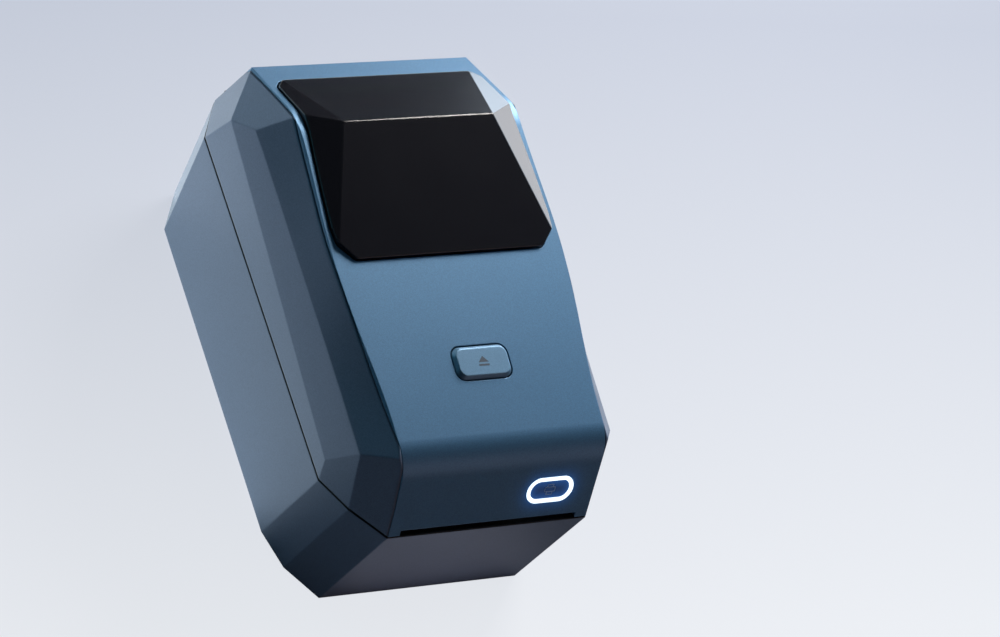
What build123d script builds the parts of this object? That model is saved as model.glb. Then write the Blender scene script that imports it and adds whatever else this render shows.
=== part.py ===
from build123d import *

import os
from math import atan2, cos, hypot, pi, radians, sin, sqrt, tan

os.makedirs("parts", exist_ok=True)

# A portable label printer with a rear-hinged lid. Millimetres, X to the right, Y to the rear, Z up.
# The origin is the middle of the footprint, on the desk. Depths are measured back from the front face.

# Label roll, its tub and its guides. A setback is measured forward from the rear face, an inset in from the side
roll_radius = 24.0
roll_gap = 2.9
roll_floor_gap = 1.4
tub_inset = 9.0
tub_front_depth = 59.5
tub_rear_setback = 13.3
tub_floor_height = 7.6
tub_wall = 1.6
tub_split_gap = 2.5
core_radius = 12.7
core_wall = 1.2
core_gap = 0.05
guide_thickness = 1.6
guide_radius = 17.0
guide_foot_width = 24.0
guide_floor_gap = 0.3
guide_side_gap = 0.4
guide_travel = 8.0
guide_stop_gap = 1.4
hub_length = 4.0
hub_gap = 0.35
hub_wall = 1.85
rack_module = 1.0
rack_pinion_teeth = 12
rack_teeth = 5
rack_thickness = 2.4
rack_floor_height = 3.9
rack_back_width = 2.4
leg_width = 3.0
pivot_post_radius = 1.5

# Casing, which is as long as the print mechanism, the tub and the hinge behind it need
case_width = 84.0
tub_length = 2 * (roll_radius + roll_gap + tub_wall)
case_depth = tub_front_depth + tub_length + tub_rear_setback
foot_height = 0.8
wall = 2.2
ledge_width = 1.2

# Clearances
fit_gap = 0.2
shadow_gap = 0.15
press_gap = 0.02
running_clearance = 0.06

# Lines of the lid's top, seen from the side
front_edge_height = 38.0
front_bend_depth = 12.5
front_bend_height = 56.7
rear_bend_setback = 21.5
rear_bend_height = 62.97
rear_top_drop = 12.67
front_bend_radius = 12.0
rear_bend_radius = 17.0
panel_thickness = 1.8
panel_seat = 1.4

# Parting line between base and lid
seam_gap = 0.4
seam_side_height = 32.4
seam_rear_height = 31.3

# Front corners in plan, and the facets along each side of the lid
front_inset = 10.8
corner_inset = 3.2
corner_depth = 9.5
corner_height = 36.4
side_front_depth = 20.0
lower_ridge_front = (25.8, 38.2)
lower_ridge_setback = 12.5
lower_ridge_height = 45.2
upper_ridge_inset = 2.5
upper_ridge_start = (19.3, 48.9)
front_facet_start = (8.0, 50.2)
rear_facet_inset = 7.45
rear_facet_setback = 19.8
rear_facet_height = 61.9
rear_inset = 8.0
rear_corner_inset = 6.6
rear_corner_setback = 10.3
undercut_side = 11.2
undercut_rear = 10.8

# Edge of the top panel: depth, inset and height, with the inset and height of the ridge below
panel_edge_stations = [
    (4.0, 11.0, 56.0, 2.7, 49.1),
    (20.0, 9.9, 57.2, 2.5, 49.5),
    (46.0, 7.8, 58.9, 2.35, 50.5),
    (case_depth - 55.8, 6.2, 60.7, 2.15, 51.4),
    (case_depth - 41.8, 6.7, 61.3, 2.05, 51.9),
    (case_depth - 25.8, 7.3, 62.3, 1.95, 52.4),
    (case_depth - 5.8, 7.75, 62.3, 1.9, 52.9),
]
panel_edge_steps = 40
panel_overhang = 0.12

# Window: heights as a rise over the lid's top, places as inset and setback
window_front_rise = 0.87
window_crest_setback = 25.3
window_crest_rise = 4.08
window_crest_inset = 18.5
window_rear_rise = 1.0
window_corner_place = (8.8, 56.8)
window_side_place = (9.6, 21.0)
window_side_rise = 0.5
window_corner_radius = 2.0
window_outline_places = [
    (12.8, 61.8),
    (8.4, 57.2),
    (7.9, 52.8),
    (8.4, 41.8),
    (9.6, 25.8),
    (10.0, 9.0),
    (12.4, 6.6),
]
window_wall = 1.8
window_flange = 3.0
window_gap = 0.35
window_skirt = 19.0
gasket_thickness = 0.4
gasket_inset = 0.3

# Open button, its stem and its springs
button_depth = 37.6
button_size = (17.2, 9.0)
button_top_size = (15.6, 7.4)
button_corner = 2.6
button_top_corner = 2.2
button_proud = 0.9
button_gap = 0.4
button_flange_spread = (1.15, 1.25)
button_flange_thickness = 1.0
button_flange_gap = 0.1
stem_half = (3.0, 1.0)
stem_gap = 0.6
button_spring_x = 7.0
button_spring_radius = 1.6
button_spring_wire = 0.5

# Print button and its ring of light, on the sloping front
ring_inset = 14.2
ring_rise = 9.8
ring_size = (14.5, 7.5)
ring_band = 1.0
ring_thin_band = 0.5
ring_fit = 0.1
ring_proud = 0.1
ring_step_depth = 2.4
key_travel = 0.4
key_gap = 0.15
key_recess = 0.15
key_flange = 0.8
ring_board_depth = 4.8
ring_board_thickness = 1.0
board_half_length = 10.0
board_low = -4.2
board_high = 6.2
board_post_reach = 9.5
board_post_rise = 5.2
board_post_radius = 1.1
board_screw_radius = 0.55
board_screw_head = (1.0, 0.7)
switch_size = 4.5
switch_thickness = 0.6
plunger_radius = 1.1
plunger_gap = 0.05

# Label slot
slot_spare = 0.5
slot_height = 1.2
slot_reach = 6.5

# Lid hinge
hinge_setback = 0.9
knuckle_radius = 2.1
hinge_pin_radius = 1.0
hinge_height = 31.5
hinge_x = 24.0
lid_knuckle_width = 6.0
base_knuckle_width = 4.0
knuckle_side_gap = 0.2
knuckle_web = 6.0

# Chassis and inner floor
ledge_height = 29.6
floor_sheet = 1.6
chassis_gap = 0.15
cheek_inset = 13.4
cheek_thickness = 1.4
cheek_front = 12.0
cheek_slope_depth = 42.0
cheek_split_gap = 3.0
cheek_rise = 2.4
shaft_notch_gap = 0.9
motor_cheek_front = (26.0, 30.0)
gear_slot_depth = (13.0, 52.0)
gear_slot_gap = 0.6

# Platen and gears
platen_depth = 20.5
platen_rise = 14.0
platen_radius = 5.0
platen_end_gap = 1.6
shaft_radius = 2.0
gear_module = 0.5
platen_teeth = 20
upper_idler_teeth = 30
lower_idler_teeth = 24
pinion_teeth = 12
tooth_backlash = 0.08
gear_width = 2.1
gear_side_gap = 0.1
post_radius = 1.2
upper_idler_direction = -50.2
lower_idler_direction = -53.7
pinion_direction = -19.9

# Stepper motor
motor_radius = 7.5
motor_length = 13.0
motor_shaft_radius = 0.75
motor_shaft_depth = 2.8
motor_collar_radius = 2.4
motor_ear = (14.0, 9.0, 0.8)

# Print head
head_gap = 0.15
head_plate_thickness = 1.0
head_reach = (6.0, 11.5)
heat_sink_thickness = 3.0
head_pivot_depth = 36.0
head_pivot_drop = 8.0
head_pivot_radius = 1.0
sink_ear_radius = 1.9
sink_ear_width = 3.0
sink_ear_reach = 2.4
sink_slot_count = 9
sink_slot_pitch = 5.0
sink_slot_width = 2.0
sink_slot_height = 1.5
sink_slot_setback = 9.0
head_spring_x = 15.0
head_spring_setback = 5.0
head_spring_radius = 2.2
head_spring_wire = 0.7

# Tear bar, feed plate and label sensor
tear_pitch = 1.5
tear_tooth = 1.0
tear_bar_height = 5.3
tear_thickness = 1.2
tear_drop = 0.15
feed_front = 38.5
feed_slope_length = 6.5
feed_tub_gap = 1.0
feed_sheet = 1.2
feed_gap = 0.1
feed_fall = 3.9
feed_side_gap = 2.4
feed_leg = (44.0, 50.0, 1.4)
sensor_half_width = 5.0
sensor_depth = (42.0, 49.0)
sensor_thickness = 1.6

# Lid frame and latch
lid_frame_drop = 6.1
lid_plate_thickness = 1.6
lid_plate_depth = (15.0, 56.0)
lid_cheek_thickness = 1.5
lid_cheek_gap = 0.3
lid_cheek_reach = (5.0, 11.0)
bush_wall = 1.2
lug_inset = 6.2
lug_radius = 3.0
lid_screw_inset = 4.6
lid_screw_depths = (21.0, 52.0)
lid_screw_radius = 1.0
lid_screw_head = (1.9, 1.0)
lid_screw_length = 3.6
lid_post_radius = 2.2
latch_pivot_drop = 1.8
latch_shaft_radius = 1.5
latch_lever = 5.0
latch_arm = 0.8
latch_arm_half_width = 5.0
latch_arm_gap = 0.1
latch_hook = (0.4, 0.8)
latch_hook_gap = 0.2
hook_thickness = 1.6
hook_side_gap = 0.3
catch_reach = 1.0
catch_drop = 2.1
catch_radius = 1.2
catch_length = 2.2

# Bottom cover, its screws and feet
cover_thickness = 2.0
screw_radius = 1.2
screw_length = 5.0
screw_head = (2.2, 1.0)
screw_head_recess = 2.4
screw_drive = (0.9, 0.5)
boss_radius = 2.9
boss_inset = 3.6
boss_web = 2.0
front_screw_depth = 24.0
rear_screw_setback = 29.8
front_boss_top = 14.0
foot_size = (15.0, 6.0)
foot_corner = 2.4
foot_recess = 0.8
foot_inset = 20.0
front_foot_depth = 8.5
rear_foot_setback = 29.8
pinion_pad_radius = 3.0

# Battery, main board and charging socket
battery_inset = 14.0
battery_length = 24.0
battery_height = 11.0
battery_corner = 2.5
battery_front_depth = 5.5
board_thickness = 1.4
board_height = 5.0
board_depth = (32.0, 56.0)
board_insets = (9.0, 5.0)
standoff_radius = 2.0
standoff_inset = 16.0
standoff_margin = 3.0
chip_thickness = 1.2
chip_places = [(-18.0, 44.0, 7.0, 7.0), (-4.0, 40.0, 5.0, 6.0), (8.0, 48.0, 9.0, 5.0), (22.0, 38.0, 4.0, 4.0)]
usb_depth = 44.5
usb_size = (8.9, 3.2)
usb_wall = 0.3
usb_tongue = (6.5, 0.7)
socket_length = 7.4
socket_recess = 0.3

# What follows from the sizes above
case_bottom = foot_height
half_width = case_width / 2
rear_bend_depth = case_depth - rear_bend_setback
rear_top_height = rear_bend_height - rear_top_drop
front_half_width = half_width - front_inset
corner_half_width = half_width - corner_inset
rear_half_width = half_width - rear_inset
rear_corner_half_width = half_width - rear_corner_inset
rear_corner_depth = case_depth - rear_corner_setback
hinge_depth = case_depth + hinge_setback
front_y = -(hinge_depth + knuckle_radius) / 2
side_view = Plane(origin=(0, front_y, 0), x_dir=(0, 1, 0), z_dir=(1, 0, 0))
plan_view = Plane(origin=(0, front_y, 0))
cheek_inside = half_width - cheek_inset
cheeks = (cheek_inside, cheek_inside + cheek_thickness)
lid_cheeks = (cheeks[1] + lid_cheek_gap, cheeks[1] + lid_cheek_gap + lid_cheek_thickness)
gear_inside = lid_cheeks[1] + gear_side_gap
gear_outside = gear_inside + gear_width
platen_height = ledge_height + platen_rise
platen_half_length = cheek_inside - platen_end_gap
cheek_top = platen_height + cheek_rise
lid_plate_height = front_bend_height - lid_frame_drop
tub_half_width = half_width - tub_inset
tub_rear_depth = tub_front_depth + tub_length
floor_split_depth = tub_front_depth - tub_split_gap
cheek_rear = floor_split_depth - cheek_split_gap
feed_rear = tub_front_depth - feed_tub_gap
feed_bend = feed_rear - feed_slope_length
roll_depth = tub_front_depth + tub_length / 2
roll_height = tub_floor_height + tub_wall + roll_floor_gap + roll_radius
guide_inside = tub_half_width - tub_wall - guide_stop_gap - guide_travel - guide_thickness
guide_outside = guide_inside + guide_thickness
roll_width = 2 * (guide_inside - guide_side_gap)

hinge_axis = (hinge_depth, hinge_height)
platen_axis = (platen_depth, platen_height)
roll_axis = (roll_depth, roll_height)
both = (-1, 1)


def point(x, depth, height):
    return Vector(x, front_y + depth, height)


def deck_height(depth):
    """Height of the lid's long flat top at a depth."""
    rise = (rear_bend_height - front_bend_height) / (rear_bend_depth - front_bend_depth)
    return front_bend_height + (depth - front_bend_depth) * rise


def rear_slope_height(depth):
    """Height of the lid's rear slope at a depth."""
    fall = (rear_bend_height - rear_top_height) / (case_depth - rear_bend_depth)
    return rear_bend_height - (depth - rear_bend_depth) * fall
# Outer faces of the closed case
case_middle = point(0, case_depth / 2, seam_rear_height)


def face_through(a, b, c):
    normal = (b - a).cross(c - a).normalized()
    if normal.dot(a - case_middle) < 0:
        normal = normal * -1
    return Plane(origin=a, z_dir=normal)


def both_sides(*corners):
    left = [Vector(-corner.X, corner.Y, corner.Z) for corner in corners]
    return [face_through(*corners), face_through(*left)]


front_corner = point(front_half_width, 0, front_edge_height)
middle_corner = point(corner_half_width, corner_depth, corner_height)
side_corner = point(half_width, side_front_depth, seam_side_height)
lower_front = point(half_width, *lower_ridge_front)
lower_rear = point(half_width, case_depth - lower_ridge_setback, lower_ridge_height)
upper_ridge = point(half_width - upper_ridge_inset, *upper_ridge_start)
front_facet = point(front_half_width, *front_facet_start)
rear_facet = point(half_width - rear_facet_inset, case_depth - rear_facet_setback, rear_facet_height)
rear_top_corner = point(rear_half_width, case_depth, rear_top_height)
rear_seam_corner = point(rear_corner_half_width, case_depth, seam_rear_height)
rear_side_corner = point(half_width, rear_corner_depth, seam_rear_height)
rear_foot = point(half_width, rear_corner_depth - undercut_side, case_bottom)
down = Vector(0, 0, -1)
across = Vector(1, 0, 0)

front_plane = Plane(origin=point(0, 0, 0), z_dir=(0, -1, 0))
rear_plane = Plane(origin=point(0, case_depth, 0), z_dir=(0, 1, 0))
undercut_foot = point(0, case_depth - undercut_rear, case_bottom)
undercut_plane = face_through(rear_seam_corner, rear_seam_corner - across, undercut_foot)
case_planes = [front_plane, rear_plane, undercut_plane]
case_planes += both_sides(side_corner, side_corner + down, lower_rear)
case_planes += both_sides(front_corner, front_corner + down, middle_corner)
case_planes += both_sides(middle_corner, middle_corner + down, side_corner)
case_planes += both_sides(front_corner, middle_corner, front_facet)
case_planes += both_sides(middle_corner, side_corner, upper_ridge)
case_planes += both_sides(lower_front, lower_rear, upper_ridge)
case_planes += both_sides(lower_rear, rear_top_corner, rear_facet)
case_planes += both_sides(lower_rear, rear_top_corner, rear_side_corner)
case_planes += both_sides(rear_side_corner, rear_seam_corner, rear_foot)

# The three straight stretches of the lid's top
front_bend = point(0, front_bend_depth, front_bend_height)
rear_bend = point(0, rear_bend_depth, rear_bend_height)
front_slope = face_through(point(0, 0, front_edge_height), front_bend, front_bend + across)
deck = face_through(front_bend, rear_bend, rear_bend + across)
rear_slope = face_through(rear_bend, point(0, case_depth, rear_top_height), rear_bend + across)


def below_top(depth):
    """Everything under the lid's top line, that line lowered by a depth."""
    with BuildPart() as block:
        with Locations(point(0, case_depth / 2, 0)):
            Box(2 * case_width, 2 * case_depth, 3 * rear_bend_height)
        for plane in (front_slope, deck, rear_slope):
            split(bisect_by=plane.offset(-depth), keep=Keep.BOTTOM)
        ridges = block.edges().filter_by(Axis.X).group_by(Axis.Z)[-1]
        fillet(ridges, rear_bend_radius - depth)
        ridges = [
            edge
            for edge in block.edges().filter_by(Axis.X)
            if abs(edge.center().Y - front_bend.Y) < 3 + depth and edge.center().Z > front_edge_height
        ]
        fillet(ridges, front_bend_radius - depth)
    return block.part


def ridge_cutter(inset):
    """The space outside the curved upper facets, beside the top panel."""
    with BuildPart() as cutter:
        for depth, edge_inset, top_z, ridge_inset, low_z in panel_edge_stations:
            top = Vector(half_width - edge_inset, top_z)
            ridge = Vector(half_width - ridge_inset, low_z)
            along = (ridge - top).normalized()
            outward = Vector(-along.Y, along.X)
            high = top - outward * inset - along * 6
            low = ridge - outward * inset + along * 3
            with BuildSketch(Plane.XZ.offset(-(front_y + depth))):
                with BuildLine():
                    Polyline(high, low, low + outward * half_width, high + outward * half_width, close=True)
                make_face()
        loft()
        mirror(about=Plane.YZ)
    return cutter.part


def case_block(inset, top_depth):
    """The closed case with its sides moved in by an inset and its top lowered by a depth."""
    outside = ridge_cutter(inset)
    under = below_top(top_depth)
    with BuildPart() as block:
        with Locations(point(0, case_depth / 2, case_bottom)):
            Box(2 * case_width, 2 * case_depth, 2 * rear_bend_height, align=(Align.CENTER, Align.CENTER, Align.MIN))
        for plane in case_planes:
            split(bisect_by=plane.offset(-inset), keep=Keep.BOTTOM)
        add(outside, mode=Mode.SUBTRACT)
        add(under, mode=Mode.INTERSECT)
    return block.part


def below_seam(raise_by):
    """The space under the parting line between base and lid."""
    with BuildPart() as block:
        with BuildSketch(side_view.offset(-case_width)):
            with BuildLine():
                Polyline(
                    (-10, front_edge_height + raise_by),
                    (0, front_edge_height + raise_by),
                    (corner_depth, corner_height + raise_by),
                    (side_front_depth, seam_side_height + raise_by),
                    (case_depth, seam_rear_height + raise_by),
                    (case_depth + 20, seam_rear_height + raise_by),
                    (case_depth + 20, -10),
                    (-10, -10),
                    close=True,
                )
            make_face()
        extrude(amount=2 * case_width)
    return block.part


def outline_prism(stations, spare, bottom, top, corner=0):
    """A symmetrical plan outline, given by half width and depth and grown by a spare, as an upright prism."""
    left = [(-x, depth) for x, depth in reversed(stations)]
    with BuildPart() as prism:
        with BuildSketch(plan_view.offset(bottom)) as outline:
            with BuildLine():
                Polyline(*stations, *left, close=True)
            make_face()
            if spare:
                offset(amount=spare, kind=Kind.INTERSECTION)
            if corner + spare > 0 and corner:
                fillet(outline.vertices(), corner + spare)
        extrude(amount=top - bottom)
    return prism.part


def box_between(x, depth, height, mode=Mode.ADD):
    with Locations(point((x[0] + x[1]) / 2, (depth[0] + depth[1]) / 2, (height[0] + height[1]) / 2)):
        Box(x[1] - x[0], depth[1] - depth[0], height[1] - height[0], mode=mode)


def rod_between(x, axis, radius, mode=Mode.ADD):
    """A round rod along X, with its axis at a depth and height."""
    with Locations(Location(point((x[0] + x[1]) / 2, *axis), (0, 90, 0))):
        Cylinder(radius, x[1] - x[0], mode=mode)


def side_plate(x, outline, mode=Mode.ADD):
    """A flat plate square to X, from its outline in depth and height."""
    with BuildSketch(side_view.offset(x[0])) as profile:
        with BuildLine():
            Polyline(*outline, close=True)
        make_face()
    extrude(profile.sketch, amount=x[1] - x[0], mode=mode)


def slab_of(space, bottom, top):
    """The part of a space between two heights."""
    with BuildPart() as slab:
        add(space)
        box_between((-case_width, case_width), (-case_depth, 2 * case_depth), (bottom, top), Mode.INTERSECT)
    return slab.part


closed_case = case_block(0, 0)
lid_cavity = case_block(wall, panel_thickness + panel_seat)
base_space = case_block(wall + ledge_width, 0)
base_upper_space = case_block(wall, 0)

# Knuckles of the lid hinge
lid_knuckle_half = lid_knuckle_width / 2
base_knuckle_x = lid_knuckle_half + knuckle_side_gap + base_knuckle_width / 2


def knuckle(x, width, bore, rise):
    """One hinge knuckle on the rear wall, with a web that reaches up or down the wall."""
    with BuildPart() as body:
        with BuildSketch(side_view.offset(x - width / 2)):
            with Locations(hinge_axis):
                Circle(knuckle_radius)
            with BuildLine():
                Polyline(
                    (hinge_depth - knuckle_radius, hinge_height),
                    (hinge_depth + knuckle_radius, hinge_height),
                    (case_depth - 0.9 * wall, hinge_height + rise),
                    (case_depth - 1.8 * wall, hinge_height + 0.6 * rise),
                    close=True,
                )
            make_face()
            with Locations(hinge_axis):
                Circle(bore, mode=Mode.SUBTRACT)
        extrude(amount=width)
    return body.part


def knuckle_notch(x, width):
    with BuildPart() as notch:
        with BuildSketch(side_view.offset(x - width / 2 - knuckle_side_gap)):
            with Locations(hinge_axis):
                Circle(knuckle_radius + fit_gap)
        extrude(amount=width + 2 * knuckle_side_gap)
    return notch.part


# Where the gears stand
def gear_radius(teeth):
    return gear_module * teeth / 2


def step(start, distance, direction):
    return (start[0] + distance * cos(radians(direction)), start[1] + distance * sin(radians(direction)))


upper_idler_axis = step(
    platen_axis, gear_radius(platen_teeth) + gear_radius(upper_idler_teeth), upper_idler_direction
)
lower_idler_axis = step(
    upper_idler_axis, gear_radius(upper_idler_teeth) + gear_radius(lower_idler_teeth), lower_idler_direction
)
pinion_axis = step(
    lower_idler_axis, gear_radius(lower_idler_teeth) + gear_radius(pinion_teeth), pinion_direction
)


def mesh_angle(angle, teeth, next_teeth, direction):
    """The angle of the next gear's first tooth, so that it meshes with a gear at a given angle."""
    offset_angle = (angle - direction) % (360 / teeth)
    return direction + 180 - offset_angle * teeth / next_teeth + 180 / next_teeth


platen_angle = 0.0
upper_idler_angle = mesh_angle(platen_angle, platen_teeth, upper_idler_teeth, upper_idler_direction)
lower_idler_angle = mesh_angle(upper_idler_angle, upper_idler_teeth, lower_idler_teeth, lower_idler_direction)
pinion_angle = mesh_angle(lower_idler_angle, lower_idler_teeth, pinion_teeth, pinion_direction)

pressure_angle = radians(20)
root_depth = 1.1
tip_height = 0.8


def tooth_points(teeth, module, backlash):
    """One side of an involute tooth as radius and half angle, from root to tip."""
    pitch = module * teeth / 2
    base = pitch * cos(pressure_angle)
    root = pitch - root_depth * module
    tip = pitch + tip_height * module
    half = (pi * module / 2 - backlash) / 2 / pitch + tan(pressure_angle) - pressure_angle
    sides = [(root, half + 0.1 / teeth)]
    start = max(base, root + 0.02)
    for part in range(5):
        radius = start + (tip - start) * part / 4
        roll = sqrt(max(radius**2 / base**2 - 1, 0))
        sides.append((radius, half - (roll - atan2(roll, 1))))
    return sides


def gear_outline(teeth, module, angle, backlash):
    sides = tooth_points(teeth, module, backlash)
    points = []
    for tooth in range(teeth):
        middle = radians(angle) + 2 * pi * tooth / teeth
        for radius, half in sides:
            points.append((radius * cos(middle - half), radius * sin(middle - half)))
        for radius, half in reversed(sides):
            points.append((radius * cos(middle + half), radius * sin(middle + half)))
    return points


def spur_gear(axis, teeth, angle, bore, start_x, width):
    with BuildPart() as gear:
        with BuildSketch(side_view.offset(start_x)):
            with Locations(axis):
                Polygon(*gear_outline(teeth, gear_module, angle, tooth_backlash), align=None)
                Circle(bore, mode=Mode.SUBTRACT)
        extrude(amount=width)
    return gear


base_upper_space = slab_of(base_upper_space, ledge_height, 2 * rear_bend_height)
tray_outline = case_block(wall + fit_gap, 0)
cover_top = case_bottom + cover_thickness
tub_floor_top = tub_floor_height + tub_wall
screw_x = half_width - wall - ledge_width - boss_inset
screw_depths = (front_screw_depth, case_depth - rear_screw_setback)
cover_screws = [(side * screw_x, depth) for side in both for depth in screw_depths]
rear_boss_top = tub_floor_height - fit_gap
board_top = board_height + board_thickness
usb_height = board_top + usb_size[1] / 2
usb_reach = usb_size[0] / 2 + fit_gap
usb_rise = usb_size[1] / 2 + fit_gap

# Base shell
seam_space = below_seam(0)
base_notches = [knuckle_notch(side * hinge_x, lid_knuckle_width) for side in both]
base_knuckles = [
    knuckle(side * hinge_x + offset_x, base_knuckle_width, hinge_pin_radius + press_gap, -knuckle_web)
    for side in both
    for offset_x in (-base_knuckle_x, base_knuckle_x)
]
with BuildPart() as base_shell:
    add(closed_case)
    add(seam_space, mode=Mode.INTERSECT)
    add(base_space, mode=Mode.SUBTRACT)
    add(base_upper_space, mode=Mode.SUBTRACT)
    for x, depth in cover_screws:
        boss_top = front_boss_top if depth < floor_split_depth else rear_boss_top
        with Locations(point(x, depth, cover_top)):
            Cylinder(boss_radius, boss_top - cover_top, align=(Align.CENTER, Align.CENTER, Align.MIN))
        reach = (x, half_width - wall) if x > 0 else (wall - half_width, x)
        box_between(reach, (depth - boss_web / 2, depth + boss_web / 2), (cover_top, boss_top))
        with Locations(point(x, depth, cover_top)):
            Cylinder(
                screw_radius + running_clearance,
                boss_top - cover_top - 1,
                align=(Align.CENTER, Align.CENTER, Align.MIN),
                mode=Mode.SUBTRACT,
            )
    add(base_notches, mode=Mode.SUBTRACT)
    add(base_knuckles)
    rod_between((-half_width, half_width), hinge_axis, hinge_pin_radius + press_gap, Mode.SUBTRACT)
    box_between(
        (half_width - 2 * (wall + ledge_width), half_width + 1),
        (usb_depth - usb_reach, usb_depth + usb_reach),
        (usb_height - usb_rise, usb_height + usb_rise),
        Mode.SUBTRACT,
    )
base_shell.part.label = "base_shell"
export_step(base_shell.part, "parts/base_shell.step")

# Bottom cover, with its screws and feet
foot_x = half_width - foot_inset
foot_depths = (front_foot_depth, case_depth - rear_foot_setback)
foot_places = [(side * foot_x, depth) for side in both for depth in foot_depths]
standoff_x = half_width - standoff_inset
standoff_depths = (board_depth[0] + standoff_margin, board_depth[1] - standoff_margin)
standoff_places = [(side * standoff_x, depth) for side in both for depth in standoff_depths]
cover_outline = case_block(wall + ledge_width + fit_gap, 0)
cover_plate = slab_of(cover_outline, case_bottom, cover_top)
with BuildPart() as bottom_cover:
    add(cover_plate)
    with BuildSketch(plan_view.offset(case_bottom)) as recesses:
        with Locations(*foot_places):
            RectangleRounded(foot_size[0] + fit_gap, foot_size[1] + fit_gap, foot_corner)
    extrude(recesses.sketch, amount=foot_recess, mode=Mode.SUBTRACT)
    with Locations(*[point(x, depth, case_bottom) for x, depth in cover_screws]):
        Cylinder(screw_radius + fit_gap, 3 * cover_thickness, mode=Mode.SUBTRACT)
        Cylinder(screw_head[0] + fit_gap, screw_head_recess, mode=Mode.SUBTRACT)
    with BuildSketch(plan_view.offset(cover_top)) as posts:
        with Locations(*standoff_places):
            Circle(standoff_radius)
    extrude(posts.sketch, amount=board_height - cover_top)
    with BuildSketch(plan_view.offset(cover_top)) as pad:
        with Locations((0, roll_depth)):
            Circle(pinion_pad_radius)
    extrude(pad.sketch, amount=rack_floor_height - shadow_gap - cover_top)
bottom_cover.part.label = "bottom_cover"
export_step(bottom_cover.part, "parts/bottom_cover.step")

with BuildPart() as rubber_feet:
    with BuildSketch(plan_view):
        with Locations(*foot_places):
            RectangleRounded(*foot_size, foot_corner)
    extrude(amount=foot_height + foot_recess)
rubber_feet.part.label = "rubber_feet"
export_step(rubber_feet.part, "parts/rubber_feet.step")

with BuildPart() as bottom_screws:
    for x, depth in cover_screws:
        with Locations(point(x, depth, case_bottom + fit_gap)):
            Cylinder(*screw_head, align=(Align.CENTER, Align.CENTER, Align.MIN))
            Cylinder(screw_radius, screw_length, align=(Align.CENTER, Align.CENTER, Align.MIN))
            Cylinder(*screw_drive, align=(Align.CENTER, Align.CENTER, Align.MIN), mode=Mode.SUBTRACT)
bottom_screws.part.label = "bottom_screws"
export_step(bottom_screws.part, "parts/bottom_screws.step")

# Battery, main board and charging socket
battery_half = half_width - battery_inset
with BuildPart() as battery_pack:
    box_between(
        (-battery_half, battery_half),
        (battery_front_depth, battery_front_depth + battery_length),
        (cover_top, cover_top + battery_height),
    )
    fillet(battery_pack.edges().filter_by(Axis.X), battery_corner)
battery_pack.part.label = "battery_pack"
export_step(battery_pack.part, "parts/battery_pack.step")

with BuildPart() as main_board:
    box_between((board_insets[0] - half_width, half_width - board_insets[1]), board_depth, (board_height, board_top))
main_board.part.label = "main_board"
export_step(main_board.part, "parts/main_board.step")

with BuildPart() as board_chips:
    for x, depth, chip_width, chip_depth in chip_places:
        box_between((x, x + chip_width), (depth, depth + chip_depth), (board_top, board_top + chip_thickness))
board_chips.part.label = "board_chips"
export_step(board_chips.part, "parts/board_chips.step")

socket_end = half_width - socket_recess
socket_radius = usb_size[1] / 2 - 0.1
with BuildPart() as usb_socket:
    with BuildSketch(side_view.offset(socket_end - socket_length)):
        with Locations((usb_depth, usb_height)):
            RectangleRounded(*usb_size, socket_radius)
    extrude(amount=socket_length)
    with BuildSketch(side_view.offset(socket_end - socket_length + 1)) as mouth:
        with Locations((usb_depth, usb_height)):
            RectangleRounded(usb_size[0] - 2 * usb_wall, usb_size[1] - 2 * usb_wall, socket_radius - usb_wall)
            Rectangle(*usb_tongue, mode=Mode.SUBTRACT)
    extrude(mouth.sketch, amount=socket_length, mode=Mode.SUBTRACT)
usb_socket.part.label = "usb_socket"
export_step(usb_socket.part, "parts/usb_socket.step")

# Print chassis
floor_top = ledge_height + floor_sheet
shaft_notch = shaft_radius + shaft_notch_gap
head_pivot = (head_pivot_depth, platen_height - head_pivot_drop)
catch_axis = (button_depth + catch_reach, platen_height - catch_drop)
cheek_outline = [
    (cheek_front, ledge_height),
    (cheek_front, cheek_top),
    (platen_depth - shaft_notch, cheek_top),
    (platen_depth - shaft_notch, platen_height - shaft_notch),
    (platen_depth + shaft_notch, platen_height - shaft_notch),
    (platen_depth + shaft_notch, cheek_top),
    (cheek_slope_depth, cheek_top),
    (cheek_rear, floor_top),
    (cheek_rear, ledge_height),
]
motor_cheek_outline = [
    (motor_cheek_front[0], floor_top - 1),
    (motor_cheek_front[1], pinion_axis[1] - motor_radius),
    (cheek_rear, pinion_axis[1] - motor_radius),
    (cheek_rear, floor_top - 1),
]
gear_slot = (-gear_outside - gear_slot_gap, -gear_inside + gear_slot_gap)
tray_sheet = slab_of(tray_outline, ledge_height, floor_top)
with BuildPart() as print_chassis:
    add(tray_sheet)
    box_between(
        (-case_width, case_width), (floor_split_depth - chassis_gap, 2 * case_depth), (0, case_width), Mode.SUBTRACT
    )
    box_between(gear_slot, gear_slot_depth, (0, cheek_top), Mode.SUBTRACT)
    side_plate(cheeks, cheek_outline)
    side_plate((-cheeks[1], -cheeks[0]), cheek_outline)
    side_plate((-cheeks[1], -cheeks[0]), motor_cheek_outline)
    rod_between((-half_width, half_width), head_pivot, head_pivot_radius + press_gap, Mode.SUBTRACT)
    rod_between((-half_width, half_width), catch_axis, catch_radius + press_gap, Mode.SUBTRACT)
    rod_between((-half_width, 0), upper_idler_axis, post_radius + press_gap, Mode.SUBTRACT)
    rod_between((-half_width, 0), lower_idler_axis, post_radius + press_gap, Mode.SUBTRACT)
    rod_between((-half_width, 0), pinion_axis, motor_collar_radius + fit_gap, Mode.SUBTRACT)
print_chassis.part.label = "print_chassis"
export_step(print_chassis.part, "parts/print_chassis.step")

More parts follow.
